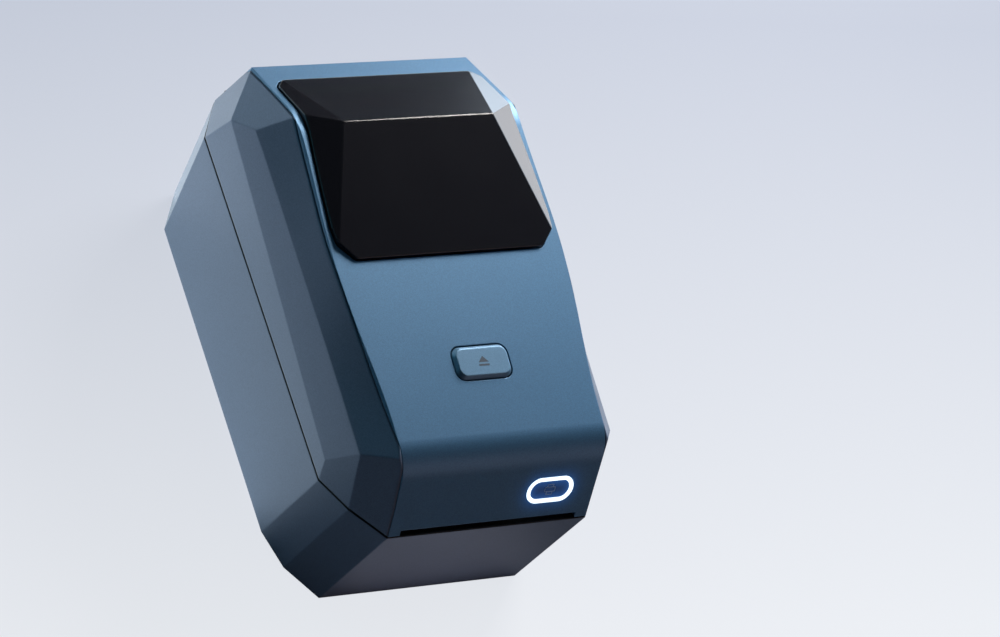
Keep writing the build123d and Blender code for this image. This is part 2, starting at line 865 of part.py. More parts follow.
with BuildPart() as gear_posts:
    for axis in (upper_idler_axis, lower_idler_axis):
        rod_between((-gear_outside - 0.4, -cheeks[0] + 0.2), axis, post_radius)
        rod_between((-gear_inside + shadow_gap, -cheeks[1]), axis, 2 * post_radius)
gear_posts.part.label = "gear_posts"
export_step(gear_posts.part, "parts/gear_posts.step")

with BuildPart() as catch_pins:
    for side in both:
        ends = sorted((side * (cheeks[0] - catch_length), side * (cheeks[1] + 0.1)))
        rod_between(ends, catch_axis, catch_radius)
catch_pins.part.label = "catch_pins"
export_step(catch_pins.part, "parts/catch_pins.step")

# Stepper motor and its gear train
motor_face = -cheeks[0] + motor_ear[2]
with BuildPart() as stepper_motor:
    rod_between((motor_face, -cheeks[0] + motor_length), pinion_axis, motor_radius)
    rod_between((-cheeks[1], motor_face), pinion_axis, motor_collar_radius)
    with BuildSketch(side_view.offset(-cheeks[0])) as ears:
        with Locations(pinion_axis):
            SlotOverall(motor_ear[0], motor_ear[1])
    extrude(ears.sketch, amount=motor_ear[2])
    rod_between(
        (-half_width, -cheeks[0] + motor_shaft_depth + fit_gap),
        pinion_axis,
        motor_shaft_radius + running_clearance,
        Mode.SUBTRACT,
    )
stepper_motor.part.label = "stepper_motor"
export_step(stepper_motor.part, "parts/stepper_motor.step")

with BuildPart() as motor_shaft:
    rod_between((-gear_outside - 0.3, -cheeks[0] + motor_shaft_depth), pinion_axis, motor_shaft_radius)
motor_shaft.part.label = "motor_shaft"
export_step(motor_shaft.part, "parts/motor_shaft.step")

gear_start = -gear_outside
idler_bore = post_radius + running_clearance
motor_pinion = spur_gear(
    pinion_axis, pinion_teeth, pinion_angle, motor_shaft_radius + press_gap, gear_start, gear_width
)
motor_pinion.part.label = "motor_pinion"
export_step(motor_pinion.part, "parts/motor_pinion.step")
lower_idler_gear = spur_gear(
    lower_idler_axis, lower_idler_teeth, lower_idler_angle, idler_bore, gear_start, gear_width
)
lower_idler_gear.part.label = "lower_idler_gear"
export_step(lower_idler_gear.part, "parts/lower_idler_gear.step")
upper_idler_gear = spur_gear(
    upper_idler_axis, upper_idler_teeth, upper_idler_angle, idler_bore, gear_start, gear_width
)
upper_idler_gear.part.label = "upper_idler_gear"
export_step(upper_idler_gear.part, "parts/upper_idler_gear.step")
platen_gear = spur_gear(
    platen_axis, platen_teeth, platen_angle, shaft_radius + press_gap, gear_start, gear_width
)
platen_gear.part.label = "platen_gear"
export_step(platen_gear.part, "parts/platen_gear.step")

with BuildPart() as platen_shaft:
    rod_between((-gear_outside - 0.2, gear_inside + 0.6), platen_axis, shaft_radius)
platen_shaft.part.label = "platen_shaft"
export_step(platen_shaft.part, "parts/platen_shaft.step")

roller_ends = (-platen_half_length, platen_half_length)
with BuildPart() as platen_roller:
    rod_between(roller_ends, platen_axis, platen_radius)
    rod_between(roller_ends, platen_axis, shaft_radius + press_gap, Mode.SUBTRACT)
platen_roller.part.label = "platen_roller"
export_step(platen_roller.part, "parts/platen_roller.step")

# Print head
head_half_length = platen_half_length - slot_spare
head_top = platen_height - platen_radius - head_gap
sink_top = head_top - head_plate_thickness
sink_bottom = sink_top - heat_sink_thickness
head_front = platen_depth - head_reach[0]
with BuildPart() as print_head:
    box_between(
        (-head_half_length, head_half_length), (head_front, platen_depth + head_reach[1]), (sink_top, head_top)
    )
print_head.part.label = "print_head"
export_step(print_head.part, "parts/print_head.step")

sink_rear = head_pivot_depth - sink_ear_reach
ear_heights = (head_pivot[1] - sink_ear_radius, head_pivot[1] + sink_ear_radius)
slot_depths = (head_front + sink_slot_setback, sink_rear + 1)
with BuildPart() as heat_sink:
    box_between((-head_half_length, head_half_length), (head_front + 0.5, sink_rear), (sink_bottom, sink_top))
    for side in both:
        ends = sorted((side * head_half_length, side * (head_half_length - sink_ear_width)))
        rod_between(ends, head_pivot, sink_ear_radius)
        box_between(ends, (sink_rear, head_pivot_depth), ear_heights)
    for number in range(sink_slot_count):
        middle = (number - (sink_slot_count - 1) / 2) * sink_slot_pitch
        slot_x = (middle - sink_slot_width / 2, middle + sink_slot_width / 2)
        box_between(slot_x, slot_depths, (sink_bottom - 1, sink_bottom + sink_slot_height), Mode.SUBTRACT)
    rod_between((-half_width, half_width), head_pivot, head_pivot_radius + running_clearance, Mode.SUBTRACT)
heat_sink.part.label = "heat_sink"
export_step(heat_sink.part, "parts/heat_sink.step")

with BuildPart() as head_pivot_pin:
    rod_between((-cheeks[1], cheeks[1]), head_pivot, head_pivot_radius)
head_pivot_pin.part.label = "head_pivot_pin"
export_step(head_pivot_pin.part, "parts/head_pivot_pin.step")

with BuildPart() as head_springs:
    with BuildSketch(plan_view.offset(floor_top)):
        with Locations(*[(side * head_spring_x, head_front + head_spring_setback) for side in both]):
            Circle(head_spring_radius)
            Circle(head_spring_radius - head_spring_wire, mode=Mode.SUBTRACT)
    extrude(amount=sink_bottom - floor_top)
head_springs.part.label = "head_springs"
export_step(head_springs.part, "parts/head_springs.step")

# Tear bar behind the front wall
tear_teeth = int(2 * platen_half_length / tear_pitch)
tear_top = head_top - tear_drop
tear_root = tear_top - tear_tooth
tear_foot = tear_top - tear_bar_height
tear_half = tear_teeth * tear_pitch / 2
tear_points = []
for number in range(tear_teeth):
    start = number * tear_pitch - tear_half
    tear_points += [(start, tear_root), (start + tear_pitch / 2, tear_top)]
tear_points += [(tear_half, tear_root), (tear_half, tear_foot), (-tear_half, tear_foot)]
with BuildPart() as tear_bar:
    with BuildSketch(Plane.XZ.offset(-(front_y + wall))):
        with BuildLine():
            Polyline(*tear_points, close=True)
        make_face()
    extrude(amount=-tear_thickness)
tear_bar.part.label = "tear_bar"
export_step(tear_bar.part, "parts/tear_bar.step")

# Feed plate and label sensor
feed_top = head_top - feed_gap
feed_outline = [
    (feed_front, feed_top),
    (feed_bend, feed_top),
    (feed_rear, feed_top - feed_fall),
    (feed_rear, feed_top - feed_fall - feed_sheet),
    (feed_bend, feed_top - feed_sheet),
    (feed_front, feed_top - feed_sheet),
]
feed_half_width = cheek_inside - feed_side_gap
with BuildPart() as feed_plate:
    side_plate((-feed_half_width, feed_half_width), feed_outline)
    for side in both:
        ends = sorted((side * feed_half_width, side * (feed_half_width - feed_leg[2])))
        box_between(ends, feed_leg[:2], (floor_top, feed_top - feed_sheet / 2))
feed_plate.part.label = "feed_plate"
export_step(feed_plate.part, "parts/feed_plate.step")

with BuildPart() as label_sensor:
    box_between(
        (-sensor_half_width, sensor_half_width),
        sensor_depth,
        (feed_top - feed_sheet - sensor_thickness, feed_top - feed_sheet),
    )
label_sensor.part.label = "label_sensor"
export_step(label_sensor.part, "parts/label_sensor.step")

# Tub for the label roll
tub_inner_half = tub_half_width - tub_wall
tub_inner = (tub_front_depth + tub_wall, tub_rear_depth - tub_wall)
rack_radius = rack_module * rack_pinion_teeth / 2
rack_root = roll_depth - rack_radius - root_depth * rack_module
rack_tip = roll_depth - rack_radius + tip_height * rack_module
rack_back = rack_root - rack_back_width
leg_depth = (rack_back, rack_back + leg_width)
with BuildPart() as roll_tub:
    add(tray_sheet)
    box_between(
        (-case_width, case_width), (-case_depth, floor_split_depth + chassis_gap), (0, case_width), Mode.SUBTRACT
    )
    box_between((-tub_half_width, tub_half_width), (tub_front_depth, tub_rear_depth), (tub_floor_height, floor_top))
    box_between((-tub_inner_half, tub_inner_half), tub_inner, (tub_floor_top, case_width), Mode.SUBTRACT)
    for turn in (0, 180):
        with BuildSketch(Plane(origin=point(0, roll_depth, 0)).rotated((0, 0, turn))) as leg_slot:
            with Locations((-(guide_inside + tub_inner_half) / 2, rack_back + leg_width / 2 - roll_depth)):
                Rectangle(tub_inner_half - guide_inside + 1, leg_width + 2 * fit_gap)
        extrude(leg_slot.sketch, amount=tub_floor_top + 1, mode=Mode.SUBTRACT)
    with BuildSketch(plan_view.offset(rack_floor_height)) as pivot_post:
        with Locations((0, roll_depth)):
            Circle(pivot_post_radius)
    extrude(pivot_post.sketch, amount=tub_floor_height - rack_floor_height)
roll_tub.part.label = "roll_tub"
export_step(roll_tub.part, "parts/roll_tub.step")

# Label roll on its core
roll_ends = (-roll_width / 2, roll_width / 2)
core_outside = core_radius + core_wall
with BuildPart() as roll_core:
    rod_between(roll_ends, roll_axis, core_outside)
    rod_between(roll_ends, roll_axis, core_radius, Mode.SUBTRACT)
roll_core.part.label = "roll_core"
export_step(roll_core.part, "parts/roll_core.step")

with BuildPart() as label_roll:
    rod_between(roll_ends, roll_axis, roll_radius)
    rod_between(roll_ends, roll_axis, core_outside + core_gap, Mode.SUBTRACT)
label_roll.part.label = "label_roll"
export_step(label_roll.part, "parts/label_roll.step")

# Roll guides, with racks that share one pinion under the tub
rack_pitch = pi * rack_module
rack_half_tooth = rack_pitch / 4 - tooth_backlash
root_half = rack_half_tooth + root_depth * rack_module * tan(pressure_angle)
tip_half = rack_half_tooth - tip_height * rack_module * tan(pressure_angle)
rack_points = []
for number in range(rack_teeth):
    middle = (number - 0.5) * rack_pitch
    rack_points += [(middle - root_half, rack_root), (middle - tip_half, rack_tip)]
    rack_points += [(middle + tip_half, rack_tip), (middle + root_half, rack_root)]
rack_end = rack_points[-1][0] + 0.6
guide_foot_height = roll_height - tub_floor_top - guide_floor_gap
hub_radius = core_radius - hub_gap


def roll_guide(turn):
    """One guide, drawn for the left side and turned about the roll's middle for the right."""
    with BuildPart() as guide:
        with BuildSketch(side_view.offset(-guide_outside)) as plate:
            with Locations(roll_axis):
                Circle(guide_radius)
            with Locations((roll_depth, roll_height - guide_foot_height / 2)):
                Rectangle(guide_foot_width, guide_foot_height)
        extrude(plate.sketch, amount=guide_thickness)
        hub_end = hub_length - guide_inside
        rod_between((-guide_inside, hub_end), roll_axis, hub_radius)
        rod_between((-guide_outside - 1, hub_end + 1), roll_axis, hub_radius - hub_wall, Mode.SUBTRACT)
        box_between((-guide_outside, -guide_inside), leg_depth, (rack_floor_height, tub_floor_top + 1))
        with BuildSketch(plan_view.offset(rack_floor_height)) as rack:
            with BuildLine():
                Polyline(
                    (-guide_outside, rack_back),
                    (-guide_outside, rack_root),
                    *rack_points,
                    (rack_end, rack_root),
                    (rack_end, rack_back),
                    close=True,
                )
            make_face()
        extrude(rack.sketch, amount=rack_thickness)
    guide.part = guide.part.rotate(Axis(point(0, roll_depth, 0), (0, 0, 1)), turn)
    return guide


left_roll_guide = roll_guide(0)
left_roll_guide.part.label = "left_roll_guide"
export_step(left_roll_guide.part, "parts/left_roll_guide.step")

right_roll_guide = roll_guide(180)
right_roll_guide.part.label = "right_roll_guide"
export_step(right_roll_guide.part, "parts/right_roll_guide.step")

with BuildPart() as guide_pinion:
    with BuildSketch(plan_view.offset(rack_floor_height)):
        with Locations((0, roll_depth)):
            Polygon(*gear_outline(rack_pinion_teeth, rack_module, 90, tooth_backlash), align=None)
            Circle(pivot_post_radius + running_clearance, mode=Mode.SUBTRACT)
    extrude(amount=rack_thickness)
guide_pinion.part.label = "guide_pinion"
export_step(guide_pinion.part, "parts/guide_pinion.step")

# Lid shell
with BuildLine() as panel_edge:
    Spline(*[(half_width - inset, depth) for depth, inset, _, _, _ in panel_edge_stations])
panel_edge_points = [panel_edge.line @ (step / panel_edge_steps) for step in range(panel_edge_steps + 1)]
panel_outline = [(place.X, place.Y) for place in panel_edge_points]
panel_outline = [(panel_outline[0][0], -2.0)] + panel_outline + [(panel_outline[-1][0], case_depth + 2)]
plate_underside = below_top(panel_thickness)


def panel_prism(spare):
    outline = outline_prism(panel_outline, panel_overhang + spare, seam_rear_height, 2 * rear_bend_height)
    with BuildPart() as prism:
        add(outline)
        add(plate_underside, mode=Mode.SUBTRACT)
    return prism.part


button_centre = point(0, button_depth, deck_height(button_depth))
button_plane = Plane(origin=button_centre, x_dir=(1, 0, 0), z_dir=deck.z_dir)
slope_run = hypot(front_bend_depth, front_bend_height - front_edge_height)
ring_centre = point(
    front_half_width - ring_inset,
    ring_rise * front_bend_depth / slope_run,
    front_edge_height + ring_rise * (front_bend_height - front_edge_height) / slope_run,
)
ring_plane = Plane(origin=ring_centre, x_dir=(1, 0, 0), z_dir=front_slope.z_dir)
top_thickness = panel_thickness + panel_seat


def top_cut(plane, shape_size, corner, spare):
    """A round-cornered hole through the lid's top, square to a plane on it."""
    with BuildPart() as cut:
        with BuildSketch(plane.offset(-2 * top_thickness)):
            RectangleRounded(shape_size[0] + 2 * spare, shape_size[1] + 2 * spare, corner + spare)
        extrude(amount=3 * top_thickness)
    return cut.part


button_hole = top_cut(button_plane, button_size, button_corner, button_gap)
ring_corner = ring_size[1] / 2 - 0.01
ring_hole = top_cut(ring_plane, ring_size, ring_corner, ring_fit)
slot_bottom = front_edge_height + seam_gap
slot_half_width = platen_half_length + slot_spare
slot_x = (-slot_half_width, slot_half_width)
slot_heights = (slot_bottom - 1, slot_bottom + slot_height)
lid_screw_x = cheek_inside - lid_screw_inset
lid_screw_places = [(side * lid_screw_x, depth) for side in both for depth in lid_screw_depths]
lid_plate_top = lid_plate_height + lid_plate_thickness
board_screw_places = [(side * board_post_reach, board_post_rise) for side in both]

lid_seam_space = below_seam(seam_gap)
panel_pocket = panel_prism(shadow_gap)
panel_body = panel_prism(0)
window_outline = [(half_width - inset, case_depth - setback) for inset, setback in window_outline_places]
window_top = 2 * rear_bend_height
window_opening = outline_prism(window_outline, -window_flange, seam_rear_height, window_top)
window_cutout = outline_prism(window_outline, window_gap, seam_rear_height, window_top, window_corner_radius)
lid_knuckles = [
    knuckle(side * hinge_x, lid_knuckle_width, hinge_pin_radius + running_clearance, knuckle_web) for side in both
]
lid_notches = [
    knuckle_notch(side * hinge_x + offset_x, base_knuckle_width)
    for side in both
    for offset_x in (-base_knuckle_x, base_knuckle_x)
]
with BuildPart() as lid_shell:
    add(closed_case)
    add(lid_seam_space, mode=Mode.SUBTRACT)
    add(lid_cavity, mode=Mode.SUBTRACT)
    with BuildSketch(plan_view.offset(lid_plate_top)) as lid_posts:
        with Locations(*lid_screw_places):
            Circle(lid_post_radius)
    extrude(lid_posts.sketch, amount=wall + lid_screw_length)
    add(panel_pocket, mode=Mode.SUBTRACT)
    add(window_opening, mode=Mode.SUBTRACT)
    add(lid_knuckles)
    add(lid_notches, mode=Mode.SUBTRACT)
    rod_between((-half_width, half_width), hinge_axis, hinge_pin_radius + running_clearance, Mode.SUBTRACT)
    with BuildSketch(ring_plane.offset(-ring_board_depth)) as board_posts:
        with Locations(*board_screw_places):
            Circle(board_post_radius)
            Circle(board_screw_radius + press_gap, mode=Mode.SUBTRACT)
    extrude(board_posts.sketch, amount=ring_board_depth - top_thickness + 0.5)
    add(button_hole, mode=Mode.SUBTRACT)
    add(ring_hole, mode=Mode.SUBTRACT)
    box_between(slot_x, (-1, slot_reach), slot_heights, Mode.SUBTRACT)
    with Locations(*[point(x, depth, lid_plate_height) for x, depth in lid_screw_places]):
        Cylinder(lid_screw_radius + press_gap, 2 * lid_screw_length + 0.8, mode=Mode.SUBTRACT)
lid_shell.part.label = "lid_shell"
export_step(lid_shell.part, "parts/lid_shell.step")

# Top panel
with BuildPart() as top_panel:
    add(closed_case)
    add(lid_seam_space, mode=Mode.SUBTRACT)
    add(panel_body, mode=Mode.INTERSECT)
    add(window_cutout, mode=Mode.SUBTRACT)
    add(button_hole, mode=Mode.SUBTRACT)
    add(ring_hole, mode=Mode.SUBTRACT)
    box_between(slot_x, (-1, slot_reach), slot_heights, Mode.SUBTRACT)
top_panel.part.label = "top_panel"
export_step(top_panel.part, "parts/top_panel.step")

# Window and its gasket
window_front = case_depth - window_outline_places[0][1]
window_crest = case_depth - window_crest_setback
window_rear_inset, window_rear_setback = window_outline_places[-1]
window_rear = case_depth - window_rear_setback
window_side_depth = case_depth - window_side_place[1]
window_front_height = deck_height(window_front) + window_front_rise
window_crest_height = deck_height(window_crest) + window_crest_rise
window_rear_height = rear_slope_height(window_rear) + window_rear_rise
crest = point(half_width - window_crest_inset, window_crest, window_crest_height)
window_fall = (window_crest_height - window_front_height) / (window_crest - window_front)
corner_depth_back = case_depth - window_corner_place[1]
window_front_corner = point(
    half_width - window_corner_place[0],
    corner_depth_back,
    window_crest_height - window_fall * (window_crest - corner_depth_back),
)
window_rear_corner = point(half_width - window_rear_inset, window_rear, window_rear_height)
window_side = point(
    half_width - window_side_place[0], window_side_depth, deck_height(window_side_depth) + window_side_rise
)
window_planes = [face_through(crest, crest - across, point(0, window_front, window_front_height))]
window_planes += [face_through(crest, crest - across, point(0, window_rear, window_rear_height))]
window_planes += both_sides(crest, window_front_corner, window_side)
window_planes += both_sides(crest, window_rear_corner, window_side)


def window_dome(inset, outline_spare):
    skirt_bottom = rear_bend_height - window_skirt
    outline = outline_prism(window_outline, outline_spare, skirt_bottom, window_top, window_corner_radius)
    with BuildPart() as dome:
        add(outline)
        for plane in window_planes:
            split(bisect_by=plane.offset(-inset), keep=Keep.BOTTOM)
    return dome.part


# The window sits on its gasket, which sits on the lid where the panel's cut-out leaves it bare
window_seat = below_top(panel_thickness - gasket_thickness)
window_outer = window_dome(0, 0)
window_inner = window_dome(window_wall, -window_flange)
with BuildPart() as window:
    add(window_outer)
    add(window_seat, mode=Mode.SUBTRACT)
    add(window_inner, mode=Mode.SUBTRACT)
window.part.label = "window"
export_step(window.part, "parts/window.step")

gasket_spare = gasket_inset - window_flange
gasket_outer = outline_prism(window_outline, -gasket_inset, seam_rear_height, window_top, window_corner_radius)
gasket_inner = outline_prism(window_outline, gasket_spare, seam_rear_height, window_top)
with BuildPart() as window_gasket:
    add(gasket_outer)
    add(gasket_inner, mode=Mode.SUBTRACT)
    add(plate_underside, mode=Mode.SUBTRACT)
    add(window_seat, mode=Mode.INTERSECT)
window_gasket.part.label = "window_gasket"
export_step(window_gasket.part, "parts/window_gasket.step")

# Lid frame, which carries the platen and the latch
bush_radius = shaft_radius + bush_wall
latch_axis = (button_depth + latch_lever, lid_plate_height - latch_pivot_drop)
lug_inside = cheek_inside - lug_inset
stem_width = (-stem_half[0] - stem_gap, stem_half[0] + stem_gap)
stem_depth = (button_depth - stem_half[1] - stem_gap, button_depth + stem_half[1] + stem_gap)
frame_block = case_block(wall + fit_gap, top_thickness + fit_gap)
frame_plate = slab_of(frame_block, lid_plate_height, lid_plate_top)
cheek_blade = [
    (platen_depth - lid_cheek_reach[0], platen_height),
    (platen_depth - lid_cheek_reach[0], lid_plate_top),
    (platen_depth + lid_cheek_reach[1], lid_plate_top),
    (platen_depth + lid_cheek_reach[1], lid_plate_height - 0.6),
    (platen_depth + lid_cheek_reach[0], platen_height),
]
lug_blade = [
    (latch_axis[0] - lug_radius, latch_axis[1]),
    (latch_axis[0] - lug_radius, lid_plate_height),
    (latch_axis[0] + lug_radius, lid_plate_height),
    (latch_axis[0] + lug_radius, latch_axis[1]),
]
with BuildPart() as lid_frame:
    add(frame_plate)
    box_between((-case_width, case_width), lid_plate_depth, (0, case_width), Mode.INTERSECT)
    for side in both:
        ends = sorted((side * lid_cheeks[0], side * lid_cheeks[1]))
        side_plate(ends, cheek_blade)
        rod_between(ends, platen_axis, lid_cheek_reach[0])
        rod_between(ends, platen_axis, bush_radius + press_gap, Mode.SUBTRACT)
        ends = sorted((side * lug_inside, side * (lug_inside + lid_cheek_thickness)))
        side_plate(ends, lug_blade)
        rod_between(ends, latch_axis, lug_radius)
        rod_between(ends, latch_axis, latch_shaft_radius + running_clearance, Mode.SUBTRACT)
    box_between(stem_width, stem_depth, (lid_plate_height - 1, lid_plate_top + 1), Mode.SUBTRACT)
    with Locations(*[point(x, depth, lid_plate_height) for x, depth in lid_screw_places]):
        Cylinder(lid_screw_radius + fit_gap, 4 * lid_plate_thickness, mode=Mode.SUBTRACT)
lid_frame.part.label = "lid_frame"
export_step(lid_frame.part, "parts/lid_frame.step")

with BuildPart() as lid_screws:
    for x, depth in lid_screw_places:
        with Locations(point(x, depth, lid_plate_height)):
            Cylinder(*lid_screw_head, align=(Align.CENTER, Align.CENTER, Align.MAX))
            Cylinder(lid_screw_radius, lid_screw_length, align=(Align.CENTER, Align.CENTER, Align.MIN))
        with Locations(point(x, depth, lid_plate_height - lid_screw_head[1])):
            Cylinder(0.8, 0.5, align=(Align.CENTER, Align.CENTER, Align.MIN), mode=Mode.SUBTRACT)
lid_screws.part.label = "lid_screws"
export_step(lid_screws.part, "parts/lid_screws.step")

with BuildPart() as platen_bushes:
    for side in both:
        ends = sorted((side * (lid_cheeks[0] - 0.1), side * (gear_inside - 0.05)))
        rod_between(ends, platen_axis, bush_radius)
    rod_between((-half_width, half_width), platen_axis, shaft_radius + running_clearance, Mode.SUBTRACT)
platen_bushes.part.label = "platen_bushes"
export_step(platen_bushes.part, "parts/platen_bushes.step")

# Hinge pins
with BuildPart() as hinge_pins:
    for side in both:
        middle = side * hinge_x
        reach = lid_knuckle_half + knuckle_side_gap + base_knuckle_width
        rod_between((middle - reach, middle + reach), hinge_axis, hinge_pin_radius)
hinge_pins.part.label = "hinge_pins"
export_step(hinge_pins.part, "parts/hinge_pins.step")

# Ring of light, print button and the board behind them
key_size = (ring_size[0] - 2 * (ring_band + key_gap), ring_size[1] - 2 * (ring_band + key_gap))
ring_bore = (ring_size[0] - 2 * ring_band, ring_size[1] - 2 * ring_band)
ring_wide_bore = (ring_size[0] - 2 * ring_thin_band, ring_size[1] - 2 * ring_thin_band)
with BuildPart() as light_ring:
    with BuildSketch(ring_plane.offset(-ring_board_depth)) as outside:
        RectangleRounded(*ring_size, ring_corner)
    extrude(outside.sketch, amount=ring_board_depth + ring_proud)
    with BuildSketch(ring_plane.offset(-ring_board_depth)) as inside:
        RectangleRounded(*ring_bore, ring_bore[1] / 2 - 0.01)
    extrude(inside.sketch, amount=2 * ring_board_depth, mode=Mode.SUBTRACT)
    with BuildSketch(ring_plane.offset(-ring_board_depth)) as wide_inside:
        RectangleRounded(*ring_wide_bore, ring_wide_bore[1] / 2 - 0.01)
    extrude(wide_inside.sketch, amount=ring_board_depth - ring_step_depth, mode=Mode.SUBTRACT)
light_ring.part.label = "light_ring"
export_step(light_ring.part, "parts/light_ring.step")

key_bottom = ring_step_depth + ring_fit
key_foot_size = (ring_wide_bore[0] - 2 * fit_gap, ring_wide_bore[1] - 2 * fit_gap)
with BuildPart() as print_button:
    with BuildSketch(ring_plane.offset(-key_bottom)) as key_face:
        RectangleRounded(*key_size, key_size[1] / 2 - 0.01)
    extrude(key_face.sketch, amount=key_bottom - key_recess)
    with BuildSketch(ring_plane.offset(-key_bottom - key_flange)) as key_foot:
        RectangleRounded(*key_foot_size, key_foot_size[1] / 2 - 0.01)
    extrude(key_foot.sketch, amount=key_flange)
print_button.part.label = "print_button"
export_step(print_button.part, "parts/print_button.step")

with BuildPart() as button_board:
    with BuildSketch(ring_plane.offset(-ring_board_depth - ring_board_thickness)):
        with Locations((0, (board_low + board_high) / 2)):
            Rectangle(2 * board_half_length, board_high - board_low)
        with Locations(*board_screw_places):
            Circle(board_screw_radius + shadow_gap, mode=Mode.SUBTRACT)
    extrude(amount=ring_board_thickness)
button_board.part.label = "button_board"
export_step(button_board.part, "parts/button_board.step")

switch_top = key_bottom + key_flange + key_travel + plunger_gap
with BuildPart() as panel_switch:
    with BuildSketch(ring_plane.offset(-ring_board_depth)) as switch_body:
        Rectangle(switch_size, switch_size)
    extrude(switch_body.sketch, amount=switch_thickness)
    with BuildSketch(ring_plane.offset(-ring_board_depth + switch_thickness)) as plunger:
        Circle(plunger_radius)
    extrude(plunger.sketch, amount=ring_board_depth - switch_thickness - switch_top)
panel_switch.part.label = "panel_switch"
export_step(panel_switch.part, "parts/panel_switch.step")

board_underside = -ring_board_depth - ring_board_thickness
with BuildPart() as board_screws:
    with BuildSketch(ring_plane.offset(board_underside - board_screw_head[1])) as screw_heads:
        with Locations(*board_screw_places):
            Circle(board_screw_head[0])
    extrude(screw_heads.sketch, amount=board_screw_head[1])
    with BuildSketch(ring_plane.offset(board_underside)) as screw_shanks:
        with Locations(*board_screw_places):
            Circle(board_screw_radius)
    extrude(screw_shanks.sketch, amount=ring_board_thickness + 1.0)
board_screws.part.label = "board_screws"
export_step(board_screws.part, "parts/board_screws.step")

# Open button, with its stem and springs
flange_top = top_thickness + button_flange_gap
flange_bottom = flange_top + button_flange_thickness
flange_size = (button_size[0] + 2 * button_flange_spread[0], button_size[1] + 2 * button_flange_spread[1])
latch_arm_top = latch_axis[1] + latch_arm
stem_nose_height = latch_arm_top + latch_arm_gap + stem_half[1]
stem_top = button_centre.Z - flange_top - button_flange_thickness / 2
stem_outline = [
    (button_depth - stem_half[1], stem_nose_height),
    (button_depth - stem_half[1], stem_top),
    (button_depth + stem_half[1], stem_top),
    (button_depth + stem_half[1], stem_nose_height),
]
with BuildPart() as open_button:
    with BuildSketch(button_plane.offset(-flange_bottom)) as flange:
        RectangleRounded(*flange_size, button_corner + 0.6)
    extrude(flange.sketch, amount=flange_bottom - flange_top)
    with BuildSketch(button_plane.offset(-flange_top)) as cap:
        RectangleRounded(*button_size, button_corner)
    extrude(cap.sketch, amount=flange_top)
    with BuildSketch(button_plane) as cap_foot:
        RectangleRounded(*button_size, button_corner)
    with BuildSketch(button_plane.offset(button_proud)) as cap_top:
        RectangleRounded(*button_top_size, button_top_corner)
    loft([cap_foot.sketch, cap_top.sketch])
    side_plate((-stem_half[0], stem_half[0]), stem_outline)
    rod_between((-stem_half[0], stem_half[0]), (button_depth, stem_nose_height), stem_half[1])
open_button.part.label = "open_button"
export_step(open_button.part, "parts/open_button.step")

spring_top = button_centre.Z - flange_bottom - 0.12
with BuildPart() as button_springs:
    with BuildSketch(plan_view.offset(lid_plate_top)):
        with Locations(*[(side * button_spring_x, button_depth) for side in both]):
            Circle(button_spring_radius)
            Circle(button_spring_radius - button_spring_wire, mode=Mode.SUBTRACT)
    extrude(amount=spring_top - lid_plate_top)
button_springs.part.label = "button_springs"
export_step(button_springs.part, "parts/button_springs.step")

# Latch
hooks = (cheek_inside - hook_side_gap - hook_thickness, cheek_inside - hook_side_gap)
nose_top = catch_axis[1] - catch_radius - latch_hook_gap
nose_bottom = nose_top - 1.8
hook_outline = [
    (latch_axis[0] - latch_shaft_radius, latch_axis[1]),
    (latch_axis[0] - latch_shaft_radius, nose_top),
    (catch_axis[0] - latch_hook[0], nose_top),
    (catch_axis[0] - latch_hook[0], nose_top - latch_hook[1]),
    (catch_axis[0] + latch_hook[1], nose_bottom),
    (latch_axis[0] + latch_shaft_radius, nose_bottom),
    (latch_axis[0] + latch_shaft_radius, latch_axis[1]),
]
paddle_outline = [
    (button_depth - 1.2, latch_axis[1] - latch_arm),
    (button_depth - 1.2, latch_arm_top),
    (latch_axis[0], latch_arm_top),
    (latch_axis[0], latch_axis[1] - latch_arm),
]
with BuildPart() as latch_bar:
    rod_between((-hooks[1], hooks[1]), latch_axis, latch_shaft_radius)
    side_plate((-latch_arm_half_width, latch_arm_half_width), paddle_outline)
    side_plate(hooks, hook_outline)
    side_plate((-hooks[1], -hooks[0]), hook_outline)
latch_bar.part.label = "latch_bar"
export_step(latch_bar.part, "parts/latch_bar.step")
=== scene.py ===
import math

import bmesh
import bpy
from bpy.props import FloatProperty, FloatVectorProperty, PointerProperty
from mathutils import Matrix, Vector


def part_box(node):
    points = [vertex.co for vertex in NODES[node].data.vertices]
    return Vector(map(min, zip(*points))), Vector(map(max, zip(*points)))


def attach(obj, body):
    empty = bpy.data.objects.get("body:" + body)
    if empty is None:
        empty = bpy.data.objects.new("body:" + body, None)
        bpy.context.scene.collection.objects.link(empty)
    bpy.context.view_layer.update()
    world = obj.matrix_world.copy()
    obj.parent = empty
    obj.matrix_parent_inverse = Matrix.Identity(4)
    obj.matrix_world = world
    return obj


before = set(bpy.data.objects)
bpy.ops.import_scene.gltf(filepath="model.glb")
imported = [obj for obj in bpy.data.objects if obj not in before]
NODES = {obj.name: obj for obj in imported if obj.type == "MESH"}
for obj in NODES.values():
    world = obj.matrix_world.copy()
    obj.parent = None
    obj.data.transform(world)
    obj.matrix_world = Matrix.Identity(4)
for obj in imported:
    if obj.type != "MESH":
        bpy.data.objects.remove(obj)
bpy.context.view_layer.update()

bl_info = {
    "name": "Label Printer Dressing",
    "version": (1, 0, 0),
    "blender": (4, 5, 0),
    "location": "3D View > Sidebar > Printer",
    "description": "Dresses the packed label printer with materials, symbols, lights and a camera",
    "category": "Object",
}

# Places on the case in metres, Y and Z where they are pairs, and slopes that follow from rise and run

